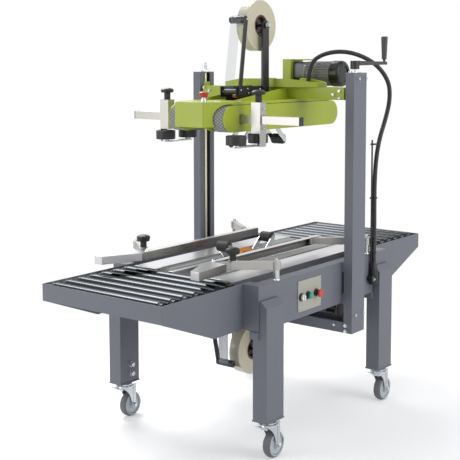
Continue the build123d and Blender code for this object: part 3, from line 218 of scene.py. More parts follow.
def new_finish(name, base, roughness, metallic=0.0, **more):
    """Start a material and return its node tree, surface shader and object coordinates."""
    material = bpy.data.materials.new(name)
    material.use_nodes = True
    tree = material.node_tree
    tree.nodes.clear()
    inputs = {"Base Color": base, "Roughness": roughness, "Metallic": metallic, **more}
    surface = add_node(tree, "BsdfPrincipled", inputs)
    add_node(tree, "OutputMaterial", {"Surface": surface.outputs[0]})
    return tree, surface, add_node(tree, "TexCoord").outputs["Object"]


def noise(tree, spots, scale, detail=2.0):
    """Noise whose grain in metres is one over the scale."""
    inputs = {"Vector": spots, "Scale": scale, "Detail": detail}
    return add_node(tree, "TexNoise", inputs).outputs["Fac"]


def combine(tree, operation, first, second):
    """Work out one value from two."""
    return add_node(tree, "Math", {0: first, 1: second}, operation=operation).outputs[0]


def vary(tree, surface, base, pattern, low, high, rough_low, rough_high):
    """Let a pattern change the brightness and the roughness a little."""
    value, rough = [
        add_node(tree, "MapRange", {"Value": pattern, "To Min": least, "To Max": most})
        for least, most in ((low, high), (rough_low, rough_high))]
    tint = add_node(tree, "HueSaturation", {"Value": value.outputs[0], "Color": base})
    tree.links.new(tint.outputs[0], surface.inputs["Base Color"])
    tree.links.new(rough.outputs[0], surface.inputs["Roughness"])


def emboss(tree, surface, pattern, strength, depth):
    """Let a pattern stand out of the surface by a depth in millimetres."""
    inputs = {"Height": pattern, "Strength": strength, "Distance": depth * MM}
    bump = add_node(tree, "Bump", inputs)
    tree.links.new(bump.outputs[0], surface.inputs["Normal"])


def painted(name, base, roughness, peel, strength, **more):
    """Paint with an orange peel in millimetres and a slow change of gloss."""
    tree, surface, spots = new_finish(name, base, roughness, **more)
    vary(tree, surface, base, noise(tree, spots, 7.0, 3.0), 0.94, 1.06, roughness - 0.05, roughness + 0.06)
    emboss(tree, surface, noise(tree, spots, 1 / (peel * MM), 1.0), strength, 0.4)


def brushed(name, base, roughness, along, grain=0.8):
    """Metal with brush marks along one axis, drawn coarser than real so that they show."""
    tree, surface, spots = new_finish(name, base, roughness, metallic=1.0)
    stretch = [1 / (grain * MM)] * 3
    stretch[along] = 9.0
    lines = add_node(tree, "Mapping", {"Vector": spots, "Scale": stretch})
    marks = noise(tree, lines.outputs[0], 1.0, 3.0)
    vary(tree, surface, base, marks, 0.93, 1.05, roughness - 0.06, roughness + 0.08)
    emboss(tree, surface, marks, 0.08, 0.15)


def moulded(name, base, roughness):
    """Moulded plastic or rubber with a faint spark-eroded grain."""
    tree, surface, spots = new_finish(name, base, roughness)
    grain = noise(tree, spots, 700.0)
    vary(tree, surface, base, grain, 0.85, 1.15, roughness - 0.06, roughness + 0.08)
    emboss(tree, surface, grain, 0.15, 0.3)


def plated(name, base, roughness):
    """Bright zinc or chrome, with faint cloudy patches where the bath left it thinner."""
    tree, surface, spots = new_finish(name, base, roughness, metallic=1.0)
    patches = noise(tree, spots, 45.0, 4.0)
    vary(tree, surface, base, patches, 0.88, 1.08, max(roughness - 0.05, 0.03), roughness + 0.08)


def grip_belt():
    """Rough-top rubber: small raised diamonds in rows, dull grey, paler on their tops and darker in the
    grooves: painted light and shade that follows their height.
    """
    base = colours().belt
    tree, surface, _ = new_finish("rough_top_rubber", base, 0.8)
    layout = add_node(tree, "UVMap", uv_map="belt").outputs[0]
    bands = []
    for turn in (35, -35):
        inputs = {"Vector": layout, "Rotation": (0, 0, radians(turn))}
        turned = add_node(tree, "Mapping", inputs).outputs[0]
        inputs = {"Vector": turned, "Scale": 0.31 / sizes().belt_grip}
        bands.append(add_node(tree, "TexWave", inputs).outputs["Fac"])
    diamond = combine(tree, "MULTIPLY", *bands)
    # Painted light and shade: the pattern lightens the diamonds' tops and darkens the grooves between them
    vary(tree, surface, base, diamond, 0.5, 1.5, 0.85, 0.7)
    emboss(tree, surface, diamond, 0.9, 1.2)


def wound_tape():
    """Wound polypropylene tape: pale straw, glossy, with the rings of its turns on the sides."""
    base = colours().tape
    coat = {"Coat Weight": 0.35, "Coat Roughness": 0.15}
    tree, surface, _ = new_finish("wound_tape", base, 0.3, **coat)
    layout = add_node(tree, "UVMap", uv_map="turns").outputs[0]
    rings = noise(tree, layout, 900.0)
    both = combine(tree, "MULTIPLY", rings, noise(tree, layout, 60.0))
    vary(tree, surface, base, both, 0.84, 1.2, 0.36, 0.22)
    emboss(tree, surface, rings, 0.25, 0.2)


def clear_tape(name, cover):
    """Clear tape, which shows by its gloss and by how far it dims what is behind it."""
    tree, surface, spots = new_finish(name, linear("8A929C"), 0.12, Alpha=cover)
    emboss(tree, surface, noise(tree, spots, 30.0), 0.3, 0.5)


# Shapes, with radii, heights and widths in millimetres and places in metres

def link_new(name, data):
    """Add an object to the scene."""
    made = bpy.data.objects.new(name, data)
    bpy.context.scene.collection.objects.link(made)
    return made


def to_mesh(name, shape, finishes):
    """Turn a bmesh into a smooth mesh with its materials."""
    for face in shape.faces:
        face.smooth = True
    mesh = bpy.data.meshes.new(name)
    shape.to_mesh(mesh)
    shape.free()
    for finish in finishes:
        mesh.materials.append(bpy.data.materials[finish])
    return mesh


def hang(name, shape, finishes, body, edge=0.0, replaced=()):
    """Make an object of a bmesh, with its materials, edges and body."""
    for seam in shape.edges:
        seam.smooth = seam.calc_face_angle(0) < CREASE
    piece = link_new(name, to_mesh(name, shape, finishes))
    if edge:
        rounding = piece.modifiers.new("rounded_edges", "BEVEL")
        rounding.width = edge
        rounding.segments = 2
        rounding.limit_method = "ANGLE"
        rounding.angle_limit = CREASE
        rounding.use_clamp_overlap = False
        rounding.harden_normals = True
    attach(piece, body)
    if replaced:
        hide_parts(*replaced)
    return piece


def new_piece(name, shape, finishes, body, edge=0.0, replaced=()):
    """Turn new geometry outwards and hang it on a body."""
    bmesh.ops.recalc_face_normals(shape, faces=shape.faces)
    return hang(name, shape, finishes, body, edge, replaced)


def new_fasteners(name, shape, body, edge=0.0):
    """Hang zinc plated fasteners or rings on a body."""
    new_piece(name, shape, ["zinc_plate"], body, edge)


def above(height, high=1, low=0):
    """Choose one finish for faces above a height and another for the rest."""
    return lambda spot, normal: high if spot.z > height else low


def dress(node, finishes, edge, chooser=None, belt_radius=0.0):
    """Replace a CAD node by a clean copy with rounded edges and a finish for each face."""
    shape = bmesh.new()
    shape.from_mesh(NODES[node].data)
    bmesh.ops.remove_doubles(shape, verts=shape.verts, dist=0.01 * MM)
    bmesh.ops.dissolve_limit(shape, angle_limit=radians(0.4), verts=shape.verts, edges=shape.edges)
    if chooser:
        for face in shape.faces:
            face.material_index = chooser(face.calc_center_median(), face.normal)
    if belt_radius:
        lay_belt(shape, *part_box(node), belt_radius)
    return hang(node + "_finished", shape, finishes, NODES[node]["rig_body"], edge, (node,))


def lay_belt(shape, low, high, radius):
    """Give a belt loop a UV map that runs along it in X and across it in Y."""
    layer = shape.loops.layers.uv.new("belt")
    middle = high.z - radius
    front, rear = low.x + radius, high.x - radius
    span = rear - front
    total = 2 * span + 2 * pi * radius

    def along(point):
        if point.x < front:
            return span + radius * (pi / 2 - atan2(point.z - middle, front - point.x)) % total
        if point.x > rear:
            return -radius * (pi / 2 - atan2(point.z - middle, point.x - rear)) % total
        if point.z > middle:
            return rear - point.x
        return span + pi * radius + point.x - front

    for face in shape.faces:
        centre = along(face.calc_center_median())
        for corner in face.loops:
            here = along(corner.vert.co)
            if here - centre > total / 2:
                here -= total
            elif centre - here > total / 2:
                here += total
            corner[layer].uv = (here, corner.vert.co.y)


def place(point, direction):
    """Matrix that puts a shape at a point, with its Z axis along a direction."""
    return Matrix.Translation(point) @ Vector(direction).to_track_quat("Z", "Y").to_matrix().to_4x4()


def add_turned(shape, point, direction, profile, steps=32, finish=0):
    """Spin a profile of (radius, height) points round an axis through a point."""
    at = place(point, direction)
    verts = [shape.verts.new(at @ Vector((radius * MM, 0, height * MM))) for radius, height in profile]
    edges = [shape.edges.new(pair) for pair in zip(verts, verts[1:])]
    known = set(shape.faces)
    bmesh.ops.spin(shape, geom=verts + edges, cent=point, axis=at.to_3x3() @ Vector(UP),
                   angle=2 * pi, steps=steps, use_merge=True)
    made = [face for face in shape.faces if face not in known]
    for face in made:
        face.material_index = finish
    bmesh.ops.remove_doubles(shape, verts=list({v for face in made for v in face.verts}), dist=0.01 * MM)


def add_ring(shape, point, direction, inner, outer, low, high, steps, finish=0):
    """Add a plain ring between two radii and two heights."""
    add_turned(shape, point, direction,
               ((inner, low), (outer, low), (outer, high), (inner, high), (inner, low)), steps, finish)


def add_block(shape, low, high):
    """Add a block between two corners."""
    low, high = Vector(low), Vector(high)
    bmesh.ops.create_cube(shape, size=1, matrix=Matrix.Translation((low + high) / 2)
                          @ Matrix.Diagonal((*(high - low), 1)))


def add_rod(shape, start, end, radius, steps=20):
    """Add a round bar between two points, with a small chamfer at its ends."""
    start, end = Vector(start), Vector(end)
    tall = (end - start).length / MM
    soft = min(0.12 * radius, 0.2 * tall)
    add_turned(shape, start, end - start,
               ((0, 0), (radius - soft, 0), (radius, soft), (radius, tall - soft), (radius - soft, tall),
                (0, tall)), steps)


def add_prism(shape, point, direction, across, tall):
    """Add a hexagon with a chamfered top."""
    corner = across * MM / 1.732
    for low, high, top in ((0, 0.85, corner), (0.85, 1, 0.86 * corner)):
        middle = Matrix.Translation((0, 0, (low + high) / 2 * tall * MM))
        bmesh.ops.create_cone(shape, cap_ends=True, segments=6, radius1=corner, radius2=top,
                              depth=(high - low) * tall * MM, matrix=place(point, direction) @ middle)


def add_bolt(shape, point, direction, across):
    """Add a hexagon bolt head on its washer."""
    rim, washer = 0.625 * across, 0.14 * across
    add_turned(shape, point, direction, ((0, 0), (rim, 0), (rim, washer), (0, washer)), 24)
    add_prism(shape, Vector(point) + Vector(direction) * washer * MM, direction, across, 0.6 * across)


def add_screw(shape, point, direction, width):
    """Add a round screw head with a socket."""
    half = width / 2
    add_turned(shape, point, direction,
               ((0, 0), (half, 0), (0.92 * half, 0.5 * half), (0.65 * half, 0.88 * half),
                (0.34 * half, half), (0.3 * half, 0.6 * half), (0, 0.6 * half)), 20)


def add_coil(shape, start, radius, wire, pitch, turns):
    """Wind a thin wire round an axis along Y by spinning its section with a lift."""
    steps = 14
    made = bmesh.ops.create_circle(shape, cap_ends=True, segments=6, radius=wire * MM / 2,
                                   matrix=Matrix.Translation(Vector(start) + Vector((radius * MM, 0, 0))))
    face = made["verts"][0].link_faces[0]
    bmesh.ops.spin(shape, geom=[*face.verts, *face.edges, face], cent=start, axis=FAR,
                   dvec=(0, pitch * MM / steps, 0), angle=2 * pi * turns, steps=turns * steps)


def new_strip(name, path, finish, body):
    """Hang a strip of tape on a body, drawn thick enough to close."""
    shape = bmesh.new()
    verts = [shape.verts.new((x, -TAPE_WIDTH / 2, z)) for x, z in path]
    edges = [shape.edges.new(pair) for pair in zip(verts, verts[1:])]
    made = bmesh.ops.extrude_edge_only(shape, edges=edges)
    moved = [item for item in made["geom"] if isinstance(item, bmesh.types.BMVert)]
    bmesh.ops.translate(shape, vec=(0, TAPE_WIDTH, 0), verts=moved)
    strip = new_piece(name, shape, [finish], body)
    wall = strip.modifiers.new("film", "SOLIDIFY")
    wall.thickness = 0.2 * MM
    wall.offset = 0


# Operators, one for each group of pieces

class SEALER_OT_finishes(Operator):
    """Make every material"""

    bl_idname = "sealer.finishes"
    bl_label = "Finishes"

    def execute(self, context):
        tint = colours()
        # Thermoset powder paint: a fine orange peel that softens the highlights
        painted("powder_coat", tint.frame_paint, 0.46, 1.6, 0.10)
        # Wet enamel over sheet steel: smooth and glossier than the frame
        painted("lime_enamel", tint.head_paint, 0.3, 3.5, 0.04)
        # Satin black enamel of the tape heads
        painted("black_enamel", tint.black_paint, 0.36, 2.0, 0.08)
        # Grey printed aluminium plate
        painted("panel_plate", tint.panel, 0.4, 1.2, 0.05)
        # Sand cast aluminium under paint: a coarser skin, with a metal glint on the gearbox
        painted("cast_enamel", tint.motor, 0.42, 2.5, 0.35)
        painted("cast_gearbox", tint.gearbox, 0.34, 2.5, 0.25, metallic=0.75)
        # Orange enamel of the blade guard
        painted("orange_enamel", linear("D98412"), 0.4, 2.0, 0.06)
        # Brushed sheet and satin extrusions: streaks along the grain, bright where a lamp meets them.
        # The rail sides get a darker copy of the stainless: a painted dark reflection
        brushed("brushed_stainless", tint.stainless, 0.3, 0)
        brushed("stainless_painted_dark_side", linear("8A8783"), 0.26, 0)
        brushed("satin_aluminium", tint.aluminium, 0.36, 1, 0.6)
        # Zinc and chrome plate: hard reflections with cloudy patches
        plated("zinc_plate", tint.zinc, 0.22)
        # The roller chrome carries a painted dark reflection in its dark base colour
        plated("chrome_tube_painted_dark", tint.chrome, 0.1)
        plated("yellow_zinc", tint.screw, 0.3)
        plated("dark_steel", linear("74777B"), 0.34)
        plated("copper_wire", linear("B4643C"), 0.3)
        # Moulded plastics and rubbers: matt with a faint grain
        moulded("black_nylon", tint.black_plastic, 0.42)
        moulded("grey_nylon", linear("3C3C40"), 0.4)
        moulded("press_rubber", linear("232325"), 0.6)
        moulded("caster_rubber", tint.tyre, 0.55)
        # Harder plastics, the board of the tape core, and its hub, glossy enough for a glint
        for name, hex_code, roughness in (
                ("caster_hub", "B8C2C6", 0.4), ("fan_cover", "131315", 0.22), ("stop_red", "B8302D", 0.3),
                ("start_green", "12A583", 0.25), ("button_red", "D43A30", 0.25),
                ("switch_white", "ECEDEF", 0.3), ("core_board", "6E4C3B", 0.75),
                ("brown_hub", "33231F", 0.2)):
            moulded(name, linear(hex_code), roughness)
        grip_belt()
        wound_tape()
        # One layer of clear tape, and a denser copy for the lower strip under the table: painted shade that
        # darkens it
        clear_tape("clear_tape", 0.16)
        clear_tape("clear_tape_painted_shade", 0.5)
        return {"FINISHED"}


class SEALER_OT_stage(Operator):
    """Set up the floor, the light and the camera"""

    bl_idname = "sealer.stage"
    bl_label = "Stage"

    def execute(self, context):
        scene = context.scene
        shape = bmesh.new()
        bmesh.ops.create_grid(shape, x_segments=1, y_segments=1, size=60)
        pale_floor()
        link_new("floor", to_mesh("floor", shape, ["pale_floor"]))
        scene.world = soft_world()
        for name, spot, aim, size, power in LAMPS:
            light = bpy.data.lights.new(name, "AREA")
            light.shape = "RECTANGLE"
            light.size, light.size_y = size
            light.energy = power
            aimed = (Vector(aim) - Vector(spot)).to_track_quat("-Z", "Y").to_matrix().to_4x4()
            link_new(name, light).matrix_world = Matrix.Translation(spot) @ aimed
        camera = bpy.data.cameras.new("view")
        camera.sensor_width = 36
        camera.lens = CAMERA_LENS
        camera.shift_x, camera.shift_y = CAMERA_SHIFT
        turn = Matrix.Rotation(CAMERA_YAW - pi / 2, 4, "Z") @ Matrix.Rotation(pi / 2 - CAMERA_PITCH, 4, "X")
        scene.camera = link_new("view", camera)
        scene.camera.matrix_world = Matrix.Translation(CAMERA_PLACE) @ turn
        scene.view_settings.view_transform = "Standard"
        return {"FINISHED"}


def seen_rays(tree):
    """One for rays from the camera and for those seen in metal, glass or tape."""
    rays = add_node(tree, "LightPath").outputs
    metal = combine(tree, "MAXIMUM", rays["Is Camera Ray"], rays["Is Glossy Ray"])
    return combine(tree, "MAXIMUM", metal, rays["Is Transmission Ray"])


def pale_floor():
    """Pale floor that keeps the shadow near the machine and is plain white further out."""
    tree, surface, spots = new_finish("pale_floor", linear("F3F3F4"), 0.75)
    seen = seen_rays(tree)
    surface.inputs["Emission Color"].default_value = (1, 1, 1, 1)
    tree.links.new(combine(tree, "MULTIPLY", seen, 0.3), surface.inputs["Emission Strength"])
    reach = add_node(tree, "VectorMath", {0: spots}, operation="LENGTH").outputs["Value"]
    fade = add_node(tree, "MapRange", {"Value": reach, "From Min": 0.7, "From Max": 1.6},
                    interpolation_type="SMOOTHSTEP").outputs[0]
    white = add_node(tree, "Emission", {"Color": (1, 1, 1, 1), "Strength": 1.0})
    share = combine(tree, "MULTIPLY", fade, seen)
    mix = add_node(tree, "MixShader", {0: share, 1: surface.outputs[0], 2: white.outputs[0]})
    output = next(item for item in tree.nodes if item.type == "OUTPUT_MATERIAL")
    tree.links.new(mix.outputs[0], output.inputs["Surface"])


def soft_world():
    """Even light from all round, seen as plain white."""
    world = bpy.data.worlds.new("soft_world")
    world.use_nodes = True
    tree = world.node_tree
    tree.nodes.clear()
    light = add_node(tree, "Background", {"Color": (0.95, 0.97, 1.0, 1), "Strength": 0.47})
    white = add_node(tree, "Background", {"Color": (1, 1, 1, 1), "Strength": 1.0})
    mix = add_node(tree, "MixShader", {0: seen_rays(tree), 1: light.outputs[0], 2: white.outputs[0]})
    add_node(tree, "OutputWorld", {"Surface": mix.outputs[0]})
    return world


class SEALER_OT_conduit(Operator):
    """Lay the conduit, its ties, the rod beside it and its gland"""

    bl_idname = "sealer.conduit"
    bl_label = "Conduit"

    def execute(self, context):
        path = conduit_line()
        radius = sizes().conduit / 2
        points = even_points(path, sizes().conduit_ring / 4)
        dips = (0, 0.5, 0.9, 0.5)
        shape = bmesh.new()
        rings = []
        for index, point in enumerate(points):
            ahead = points[min(index + 1, len(points) - 1)] - points[max(index - 1, 0)]
            made = bmesh.ops.create_circle(shape, segments=14, radius=radius - dips[index % 4] * MM,
                                           cap_ends=index in (0, len(points) - 1),
                                           matrix=Matrix.Translation(point) @ turn_along(ahead))
            rings.append(list({edge for vert in made["verts"] for edge in vert.link_edges}))
        for lower, upper in zip(rings, rings[1:]):
            bmesh.ops.bridge_loops(shape, edges=lower + upper)
        bmesh.ops.recalc_face_normals(shape, faces=shape.faces)
        piece = link_new("conduit_tube", to_mesh("conduit_tube", shape, ["black_nylon"]))
        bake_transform(piece)
        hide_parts("conduit")
        dress("conduit_gland", ["black_nylon"], MOULDED_EDGE)
        shape = bmesh.new()
        add_turned(shape, GLAND_FOOT, UP,
                   ((0, 0), (16, 0), (19, 6), (19, 56), (15, 72), (10.5, 92), (9.6, 92), (9.6, 60), (0, 60)))
        ear_x, ear_y, ear_z = GLAND_BOLT
        add_rod(shape, (ear_x + 4 * MM, -0.358, ear_z), (ear_x + 4 * MM, ear_y, ear_z), 15, 28)
        new_piece("gland_boot", shape, ["black_nylon"], "frame", 0.8 * MM)
        shape = bmesh.new()
        add_rod(shape, (ROD_X, ROD_Y, ROD_ENDS[0]), (ROD_X, ROD_Y, ROD_ENDS[1]), 3.5, 12)
        for z in TIE_ZS:
            add_ring(shape, (TIE_X, TIE_Y, z), UP, 9.6, 11, 0, 5, 20)
            add_block(shape, (ROD_X - 5 * MM, ROD_Y - 5 * MM, z - 1 * MM),
                      (ROD_X + 5 * MM, ROD_Y + 6 * MM, z + 6 * MM))
        new_piece("conduit_rod_and_ties", shape, ["black_nylon"], "frame")
        shape = bmesh.new()
        add_bolt(shape, GLAND_BOLT, NEAR, 9)
        new_fasteners("gland_bolts", shape, "frame")
        return {"FINISHED"}


def conduit_line():
    """Points along the smooth line through the conduit's route."""
    curve = bpy.data.curves.new("conduit_line", "CURVE")
    curve.dimensions = "3D"
    curve.resolution_u = 24
    spline = curve.splines.new("NURBS")
    spline.points.add(len(CONDUIT_ROUTE) - 1)
    for point, corner in zip(spline.points, CONDUIT_ROUTE):
        point.co = (*corner, 1)
    spline.order_u = 3
    spline.use_endpoint_u = True
    line = link_new("conduit_line", curve)
    bpy.context.view_layer.update()
    mesh = bpy.data.meshes.new_from_object(line.evaluated_get(bpy.context.evaluated_depsgraph_get()))
    path = [vert.co.copy() for vert in mesh.vertices]
    bpy.data.objects.remove(line)
    bpy.data.meshes.remove(mesh)
    return path


def even_points(path, step):
    """Points at an even spacing along a path, with both ends kept."""
    total = sum((b - a).length for a, b in zip(path, path[1:]))
    count = max(2, round(total / step))
    spacing = total / count
    points, walked, target = [path[0]], 0.0, spacing
    for start, end in zip(path, path[1:]):
        run = (end - start).length
        while run and target <= walked + run + 1e-9 and len(points) < count:
            points.append(start.lerp(end, (target - walked) / run))
            target += spacing
        walked += run
    points.append(path[-1])
    return points


def turn_along(direction):
    """Rotation that keeps the sections of a tube from twisting."""
    along = direction.normalized()
    side = Vector((1, -1, 0)).normalized()
    side = (side - along * side.dot(along)).normalized()
    return Matrix((side, along.cross(side), along)).transposed().to_4x4()


class SEALER_OT_steel_frame(Operator):
    """Finish the table, legs, columns and their bolts"""

    bl_idname = "sealer.steel_frame"
    bl_label = "Steel frame"

    def execute(self, context):
        for node in ("centre_box", "bed_frames", "legs", "columns", "cross_member"):
            dress(node, ["powder_coat"], sizes().tube_edge if node == "legs" else sizes().sheet_edge)
        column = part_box("columns")[0]
        column_bolts = ((0.129, 1.3695), (0.182, 1.3695), (0.119, 0.435), (0.180, 0.435))
        spacer_bolts = ((0.379, 0.394, 13), (0.379, 0.3705, 13), (0.3256, 0.3894, 9))
        shape = bmesh.new()
        for x, z in column_bolts:
            add_bolt(shape, (x, column.y, z), NEAR, 11)
        for sign in (-1, 1):
            for y, z, across in spacer_bolts:
                add_bolt(shape, (column.x, sign * y, z), FRONT, across)
            for x in (-LEG_BOLT_X, LEG_BOLT_X):
                for z in LEG_BOLT_ZS:
                    add_bolt(shape, (x, sign * LEG_BOLT_Y, z), (0, -sign, 0), 18)
        new_fasteners("frame_bolts", shape, "frame", BOLT_EDGE)
        return {"FINISHED"}


class SEALER_OT_bed_rollers(Operator):
    """Finish the rollers of both beds"""

    bl_idname = "sealer.bed_rollers"
    bl_label = "Bed rollers"

    def execute(self, context):
        low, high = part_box("infeed_roller_1")
        axis_z = (low.z + high.z) / 2
        axle_end = high.y - 19 * MM
        tube_end = axle_end - 17 * MM

        def finish_of(spot, normal):
            if abs(spot.y) > axle_end:
                return 2
            return 1 if abs(spot.y) > tube_end - 1 * MM else 0

        for node in [f"{bed}_roller_{index + 1}" for bed in BEDS for index in range(ROLLERS_PER_BED)]:
            low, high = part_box(node)
            axis_x = (low.x + high.x) / 2
            # The tubes take the darkened chrome, a painted dark reflection
            dress(node, ["chrome_tube_painted_dark", "black_nylon", "zinc_plate"], MACHINED_EDGE, finish_of)
            shape = bmesh.new()
            for side in (-1, 1):
                add_turned(shape, (axis_x, side * tube_end, axis_z), (0, side, 0),
                           ((15, 5), (16.6, 5.5), (16.6, 7.5), (15, 8), (15, 5)), 28)
                add_ring(shape, (axis_x, side * axle_end, axis_z), (0, side, 0), 5, 9, 0.2, 2, 20, 1)
            new_piece(node + "_cap_rings", shape, ["black_nylon", "zinc_plate"], node)
        return {"FINISHED"}


class SEALER_OT_casters(Operator):
    """Finish the casters"""

    bl_idname = "sealer.casters"
    bl_label = "Casters"

    def execute(self, context):
        hub_radius, nut_y = 37 * MM, 27 * MM
        for corner in [f"{side}_{bed}" for bed in BEDS for side, _ in SIDES]:
            fork, wheel = f"{corner}_caster_fork", f"{corner}_caster_wheel"
            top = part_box(fork)[1].z
            dress(fork, ["zinc_plate", "black_nylon"], MACHINED_EDGE, above(top - 3.2 * MM))
            low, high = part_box(wheel)
            axle = (low + high) / 2

            def finish_of(spot, normal):
                return 0 if (spot.xz - axle.xz).length > hub_radius else 1

            dress(wheel, ["caster_rubber", "caster_hub"], 0, finish_of)
            shape = bmesh.new()
            for side in (-1, 1):
                add_prism(shape, (axle.x, axle.y + side * nut_y, axle.z), (0, side, 0), 15, 6)
            swivel = (CASTER_X if axle.x > 0 else -CASTER_X, axle.y, top)
            add_turned(shape, swivel, DOWN,
                       ((18, 0), (25, 0), (25, 3), (23, 3), (18, 3), (18, 0)), 36, 1)
            add_turned(shape, swivel, DOWN,
                       ((18, 3.4), (29, 3.4), (31, 5), (31, 9), (27, 10), (27, 12), (34, 13), (35, 17),
                        (33, 21), (18, 21), (18, 3.4)), 36)
            new_piece(f"{corner}_swivel_cup", shape, ["zinc_plate", "black_nylon"], fork)
        return {"FINISHED"}


class SEALER_OT_deck_and_belts(Operator):
    """Finish the deck, the lower belts and their gear motor"""

    bl_idname = "sealer.deck_and_belts"
    bl_label = "Deck and belts"

    def execute(self, context):
        dress("deck", ["brushed_stainless"], sizes().sheet_edge)
        deck_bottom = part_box("deck")[0].z
        belt_bottom, bed_bottom = deck_bottom + 1.5 * MM, deck_bottom - 5.5 * MM
        gearbox_y, motor_y, fan_y = -7.2 * MM, -69.5 * MM, -198.5 * MM

        def finish_of(spot, normal):
            if spot.z > belt_bottom:
                return 0
            if spot.z > bed_bottom or spot.y > gearbox_y:
                return 1
            if spot.y > motor_y:
                return 3
            return 4 if spot.y < fan_y else 2

        finishes = ["rough_top_rubber", "black_enamel", "cast_enamel", "cast_gearbox", "fan_cover"]
        dress("lower_belts", finishes, BELT_EDGE, finish_of, 30 * MM)
        return {"FINISHED"}


class SEALER_OT_control_panel(Operator):
    """Finish the control panel"""

    bl_idname = "sealer.control_panel"
    bl_label = "Control panel"

    def execute(self, context):
        low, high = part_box("control_panel")
        face_y = high.y - 3 * MM
        # Place in X, height of the black neck and finish of each button
        buttons = ((-0.192, 8.5, 2), (-0.148, 12.5, 3), (-0.092, 18.5, 4))

        def finish_of(spot, normal):
            depth = (face_y - spot.y) / MM
            if depth < 0.5:
                return 0
            _, neck, finish = min(buttons, key=lambda button: abs(button[0] - spot.x))
            return 1 if depth < neck else finish

        finishes = ["panel_plate", "black_nylon", "switch_white", "start_green", "button_red"]
        dress("control_panel", finishes, MACHINED_EDGE, finish_of)
        shape = bmesh.new()
        inset = 7 * MM
        for x in (low.x + inset, high.x - inset):
            for z in (low.z + inset, high.z - inset):
                add_screw(shape, (x, face_y, z), NEAR, 7)
        new_fasteners("panel_screws", shape, "frame")
        return {"FINISHED"}


class SEALER_OT_guides(Operator):
    """Finish the side guides and their posts"""

    bl_idname = "sealer.guides"
    bl_label = "Guides"

    def execute(self, context):
        dress("guide_posts", ["zinc_plate"], MACHINED_EDGE)
        table_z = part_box("guide_posts")[0].z
        shape = bmesh.new()
        for x in POST_XS:
            for sign in (-1, 1):
                add_turned(shape, (x, sign * POST_Y, table_z), UP,
                           ((11.2, 0), (14, 0), (14, 2), (12.5, 5), (11.2, 5), (11.2, 0)), 28)
        new_fasteners("post_rings", shape, "frame")
        knob_shift_x = KNOB_REACH * RAIL_SHIFT_X
        knob_y = POST_Y - KNOB_REACH * (POST_Y - RAIL_PIVOT_Y)
        for side, sign in SIDES:
            rail = f"{side}_guide_rail"
            rail_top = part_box(rail)[1].z
            # Tops and faces turned to the front get the bright stainless, the other faces the darker copy:
            # painted dark reflection
            dress(rail, ["brushed_stainless", "stainless_painted_dark_side"], MACHINED_EDGE,
                  lambda spot, normal: 0 if normal.z > 0.5 or normal.x < -0.2 else 1)
            for end, post_x in zip(ENDS, POST_XS):
                arm = f"{side}_{end}_guide_arm"
                dress(arm, ["satin_aluminium", "black_nylon"], MOULDED_EDGE, above(rail_top + 0.5 * MM))
                shape = bmesh.new()
                add_bolt(shape, (post_x, sign * POST_Y, rail_top), UP, 13)
                if end == "front":
                    add_prism(shape, (post_x + knob_shift_x, sign * knob_y, rail_top), UP, 32, 3.5)
                new_fasteners(f"{side}_{end}_arm_bolts", shape, arm, BOLT_EDGE)
            shape = bmesh.new()
            for post_x in POST_XS:
                add_screw(shape, (post_x + RAIL_SHIFT_X, sign * RAIL_PIVOT_Y, rail_top), UP, 14)
            new_fasteners(f"{side}_rail_screws", shape, rail)
        return {"FINISHED"}


class SEALER_OT_head_sheet_metal(Operator):
    """Finish the green sheet metal of the head and its bolts"""

    bl_idname = "sealer.head_sheet_metal"
    bl_label = "Head sheet metal"

    def execute(self, context):
        edge = sizes().sheet_edge

        def housing_finish(spot, normal):
            near_stop = (spot.xy - STOP_PLACE).length < 13 * MM
            return 1 if near_stop and spot.z > DECK_Z + 0.2 * MM else 0

        dress("head_housing", ["lime_enamel", "zinc_plate"], edge, housing_finish)
        for node in ("belt_guards", "cross_arm", "motor_platform"):
            dress(node, ["lime_enamel"], edge)
        arm_bolts = ((-0.3092, 1.3064), (-0.3377, 1.3209), (-0.3377, 1.2939),
                     (0.3469, 1.3253), (0.3187, 1.3127), (0.3377, 1.2939))
        deck_screws = ((-0.330, -0.060), (-0.330, 0.060), (-0.250, -0.118), (-0.250, 0.118))
        shape = bmesh.new()
        for y, z in arm_bolts:
            add_bolt(shape, (ARM_FRONT_X, y, z), FRONT, 11)
        for x, y in deck_screws:
            add_screw(shape, (x, y, DECK_Z), UP, 6)
        for x in (0.268, 0.316):
            add_screw(shape, (x, 0.040, PLATFORM_Z), UP, 9)
        new_fasteners("head_bolts", shape, "head", SCREW_EDGE)
        # Black frames round the press bar where it passes through the guards: a dark part standing in for
        # the shadow in the gaps of the slots
        guard_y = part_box("belt_guards")[1].y
        low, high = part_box("press_bar")
        rim, proud = 2.2 * MM, 0.5 * MM
        shape = bmesh.new()
        for sign in (-1, 1):
            near_y, far_y = sorted((sign * guard_y, sign * (guard_y + proud)))
            for left, bottom, right, top in (
                    (low.x - rim, high.z, high.x + rim, high.z + rim),
                    (low.x - rim, low.z - rim, high.x + rim, low.z),
                    (low.x - rim, low.z, low.x, high.z), (high.x, low.z, high.x + rim, high.z)):
                add_block(shape, (left, near_y, bottom), (right, far_y, top))
        new_piece("bar_slot_painted_shadow", shape, ["black_nylon"], "head")
        return {"FINISHED"}


class SEALER_OT_upper_belts(Operator):
    """Finish the upper belts"""

    bl_idname = "sealer.upper_belts"
    bl_label = "Upper belts"

    def execute(self, context):
        low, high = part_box("upper_belts")
        radius = (high.z - low.z) / 2
        axis_z = (high.z + low.z) / 2
        pulley_radius = radius - 4.2 * MM

        def finish_of(spot, normal):
            along = min(max(spot.x, low.x + radius), high.x - radius)
            off_axis = Vector((spot.x - along, spot.z - axis_z)).length
            return 0 if off_axis > pulley_radius else 1

        dress("upper_belts", ["rough_top_rubber", "dark_steel"], BELT_EDGE, finish_of, radius)
        return {"FINISHED"}


